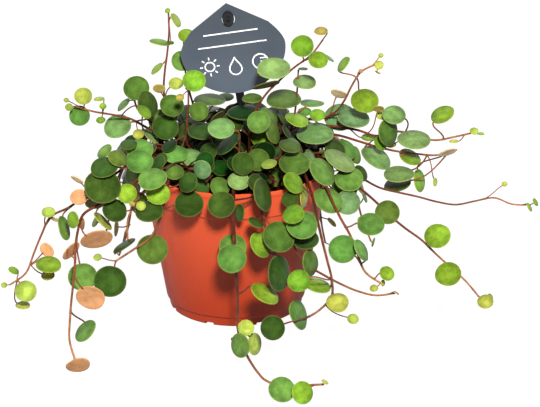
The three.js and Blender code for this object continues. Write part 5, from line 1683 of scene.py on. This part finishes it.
def leaf_tone(stem, leaf, keys):
    """The letter of a leaf's colours: young at the tips, and dark in the crown, partly as old
    leaves and partly as painted shade
    """
    if leaf["tone"] != BY_RULE:
        return leaf["tone"]
    age = leaf["at"] / (len(stem["joints"]) - 1)
    centre = leaf["centre"]
    if leaf["radius"] < BUD_RADIUS:
        return "y"
    if out_of_axis(centre) < CROWN_TONE_RADIUS and centre[2] > CROWN_TONE_HEIGHT:
        tones = OLD_AND_SHADED_CROWN_TONES
    elif age > TIP_AGE and leaf["radius"] < YOUNG_RADIUS:
        tones = TIP_TONES
    else:
        tones = YOUNG_TONES if age > YOUNG_AGE else OLD_TONES
    chance = draw(*keys, 20)
    return next(letter for letter, limit in tones if chance < limit)


def painted(colour, count):
    """One colour for each of so many points"""
    return np.tile((*colour, 1), (count, 1))


def keyed_leaves(stem):
    """Each leaf of a stem with the whole numbers that its draws start from"""
    return [(leaf, (stem["number"] + 1, index)) for index, leaf in enumerate(stem["leaves"])]


def make_leaves(stem, material):
    """All the blades of one stem, as one piece"""
    blades, tints, unders = [], [], []
    for leaf, keys in keyed_leaves(stem):
        blades.append((leaf_points(leaf, keys), LEAF_FACES))
        upper, under = (np.array(colour) for colour in TONES[leaf_tone(stem, leaf, keys)])
        shift = vary(LEAF_SHADES, *keys, 21)
        if leaf["tone"] == BY_RULE:
            shift *= in_light(leaf["centre"], SHADED_LEAF)
        warm = 1 + LEAF_WARMTH * sway(*keys, 22)
        tints.append(painted(upper * shift * (warm, 1, 1), len(LEAF_SIDE)))
        unders.append(painted(under * shift, len(LEAF_SIDE)))
    piece = mesh_object(f"leaves_{stem['name']}", *joined(blades), [material], "foliage",
                        [f"stem_{stem['name']}"])
    at = np.tile(np.c_[LEAF_AT, LEAF_SIDE], (len(blades), 1))
    set_attribute(piece, "leaf_at", "FLOAT_VECTOR", at)
    set_attribute(piece, "leaf_tint", "FLOAT_COLOR", np.vstack(tints))
    set_attribute(piece, "leaf_under", "FLOAT_COLOR", np.vstack(unders))


def join_leaf(leaf, path, spans):
    """Notes where a leaf's stalk leaves the fine stem, and which way the stem runs there"""
    last = len(path) - 1
    place = round((leaf["at"] + 0.5 if leaf["at"] < spans else spans) * FINE_PER_SPAN)
    leaf["root"] = path[min(place, last)]
    leaf["way"] = unit(path[min(place + 1, last)] - path[max(place - 1, 0)])


def stem_tint(path, share):
    """Dark red at the root and paler toward a trailing tip, darker in the crown's shade"""
    old, young, tip = (np.array(colour) for colour in STEM_COLOURS)
    tint = old + (young - old) * (share ** 2)[:, None]
    if out_of_axis(path[-1]) > TRAILING_REACH:
        tint = tint + (tip - tint) * (TIP_SHARE * share ** 4)[:, None]
    tint *= np.array([in_light(point, SHADED_STEM) for point in path])[:, None]
    tint = np.repeat(tint, FINE_STEM_SIDES, axis=0)
    return np.vstack([tint, tint[:1], tint[-1:]])


def stem_tube(stem):
    """A stem that thins toward its tip and swells where leaves join"""
    path = smooth_points(list(stem["rings"]), FINE_PER_SPAN)
    share = np.arange(len(path)) / (len(path) - 1)
    radii = stem["thick"] * (STEM_FOOT - STEM_THINS * share)
    for leaf in stem["leaves"]:
        join_leaf(leaf, path, len(stem["rings"]) - 1)
        away = np.linalg.norm(path - leaf["root"], axis=1)
        swell = 1 + NODE_SWELL * np.exp(-((away / NODE_LENGTH) ** 2))
        radii = np.maximum(radii, stem["thick"] * (STEM_NODE - STEM_THINS * share) * swell)
    tint = stem_tint(path, share)
    return tube(path, radii, FINE_STEM_SIDES), np.c_[tint, np.ones(len(tint))]


def petiole_tube(leaf, keys):
    """A leaf stalk that bows from the stem into the base of its blade"""
    start = leaf["root"]
    inward, upward = leaf["along"], leaf["normal"]
    end = leaf["base"] + inward * PETIOLE_IN_BLADE - upward * PETIOLE_UNDER_BLADE
    length = np.linalg.norm(end - start)
    out = unit(unit(end - start) + leaf["way"] * PETIOLE_ALONG_STEM)
    outward, back, under = PETIOLE_BOWS
    after_start = start + out * length * outward
    before_end = end - inward * length * back - upward * length * under
    path = bezier(start, after_start, before_end, end, PETIOLE_RINGS, to_end=True)
    t = np.linspace(0, 1, PETIOLE_RINGS)
    thin = min(1, SMALL_PETIOLE + leaf["radius"] / FULL_PETIOLE)
    radii = (PETIOLE_RADIUS - PETIOLE_WAIST * t * (1 - t)) * thin
    first, second = (np.array(colour) for colour in PETIOLE_COLOURS)
    mixed = (first + (second - first) * draw(*keys, 30)) * in_light(start, SHADED_STALK)
    shape = tube(path, radii, PETIOLE_SIDES)
    return shape, painted(mixed * vary(PETIOLE_SHADES, *keys, 31), len(shape[0]))


def make_stalks(name, stems, material):
    """The stems and leaf stalks of a group, as one piece"""
    parts = []
    for stem in stems:
        parts.append(stem_tube(stem))
        parts += [petiole_tube(leaf, keys) for leaf, keys in keyed_leaves(stem)]
    shapes, tints = zip(*parts)
    piece = mesh_object(name, *joined(shapes), [material], "stalk",
                        [f"stem_{stem['name']}" for stem in stems])
    set_attribute(piece, "stalk_tint", "FLOAT_COLOR", np.vstack(tints))


def make_camera():
    """A long lens, as far away and as wide as the photo's scale at the pot asks"""
    camera = bpy.data.cameras.new("camera")
    camera.sensor_width = SENSOR_WIDTH
    camera.lens = SENSOR_WIDTH * VIEW_DISTANCE / (IMAGE_WIDTH * VIEW_SCALE)
    camera.clip_start = 0.01
    camera.clip_end = 20
    holder = add_object("camera", camera)
    back = np.array((0, -math.cos(VIEW_DOWN), math.sin(VIEW_DOWN))) * VIEW_DISTANCE
    holder.location = (np.array(VIEW_CENTRE) + back) * MM
    holder.rotation_euler = (math.pi / 2 - VIEW_DOWN, 0, 0)
    bpy.context.scene.camera = holder


def add_lamp(name, place, size, watts):
    lamp = bpy.data.lights.new(name, "AREA")
    lamp.shape = "DISK"
    lamp.size = size
    lamp.energy = watts
    holder = add_object(name, lamp)
    holder.location = place
    holder.visible_glossy = False
    way = Vector(LIT_POINT) - Vector(place)
    holder.rotation_euler = way.to_track_quat("-Z", "Y").to_euler()


class RoomNodes(Nodes):
    """The world's nodes, which have no shader of a surface"""

    def __init__(self):
        self.world = bpy.data.worlds.new("room")
        self.world.use_nodes = True
        self.tree = self.world.node_tree
        self.shader = self.tree.nodes["Background"]


def seen_or_shining(nodes, shine, unseen, seen):
    """A strength that is one value to the camera and another as light on the plant, and that
    reflections see in between, by how far it shines"""
    camera, glossy = (nodes.add("LightPath").outputs[f"Is {kind} Ray"]
                      for kind in ("Camera", "Glossy"))
    white = nodes.maths("MAXIMUM", camera, nodes.product(glossy, shine))
    return nodes.ramp(white, 0, 1, unseen, seen, smooth=False)


def make_room():
    """A white room that is dimmer as a light than it looks, with a bright wall behind the plant"""
    nodes = RoomNodes()
    way = nodes.add("TexCoord").outputs["Generated"]
    wall = nodes.ramp(nodes.split(way)[1], WALL_FROM, WALL_TO, 0, WALL_SHINE)
    nodes.to_shader("Color", (1, 1, 1))
    nodes.to_shader("Strength", seen_or_shining(nodes, wall, ROOM_LIGHT, 1))
    bpy.context.scene.world = nodes.world


def make_floor():
    """A wide pale floor that barely shows shadow"""
    rim = np.c_[circle(0, 0, FLOOR_RADIUS, FLOOR_SIDES), np.full(FLOOR_SIDES, -FLOOR_DROP)]
    floor = new_mesh("floor", rim, [tuple(range(FLOOR_SIDES))])
    nodes = Nodes("floor", roughness=0.9, specular=0.0)
    nodes.to_shader("Base Color", (0.1, 0.1, 0.1))
    nodes.to_shader("Emission Color", (1, 1, 1))
    glow = seen_or_shining(nodes, FLOOR_SHINE, FLOOR_LIGHT, FLOOR_GLOW)
    nodes.to_shader("Emission Strength", glow)
    floor.materials.append(nodes.material)
    add_object("floor", floor)


def main():
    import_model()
    grow_plant()
    make_pot()
    make_soil()
    make_label()
    make_stake()
    blade = leaf_material()
    skin = stalk_material()
    for stem in STEMS:
        if stem["leaves"]:
            make_leaves(stem, blade)
    for fill in ("vine", "crown", "back"):
        make_stalks(f"stalks_{fill}", [stem for stem in STEMS if stem["fill"] == fill], skin)
    make_room()
    make_floor()
    for name, lamp in LAMPS.items():
        add_lamp(name, *lamp)
    bpy.context.scene.view_settings.view_transform = "Standard"
    make_camera()


main()
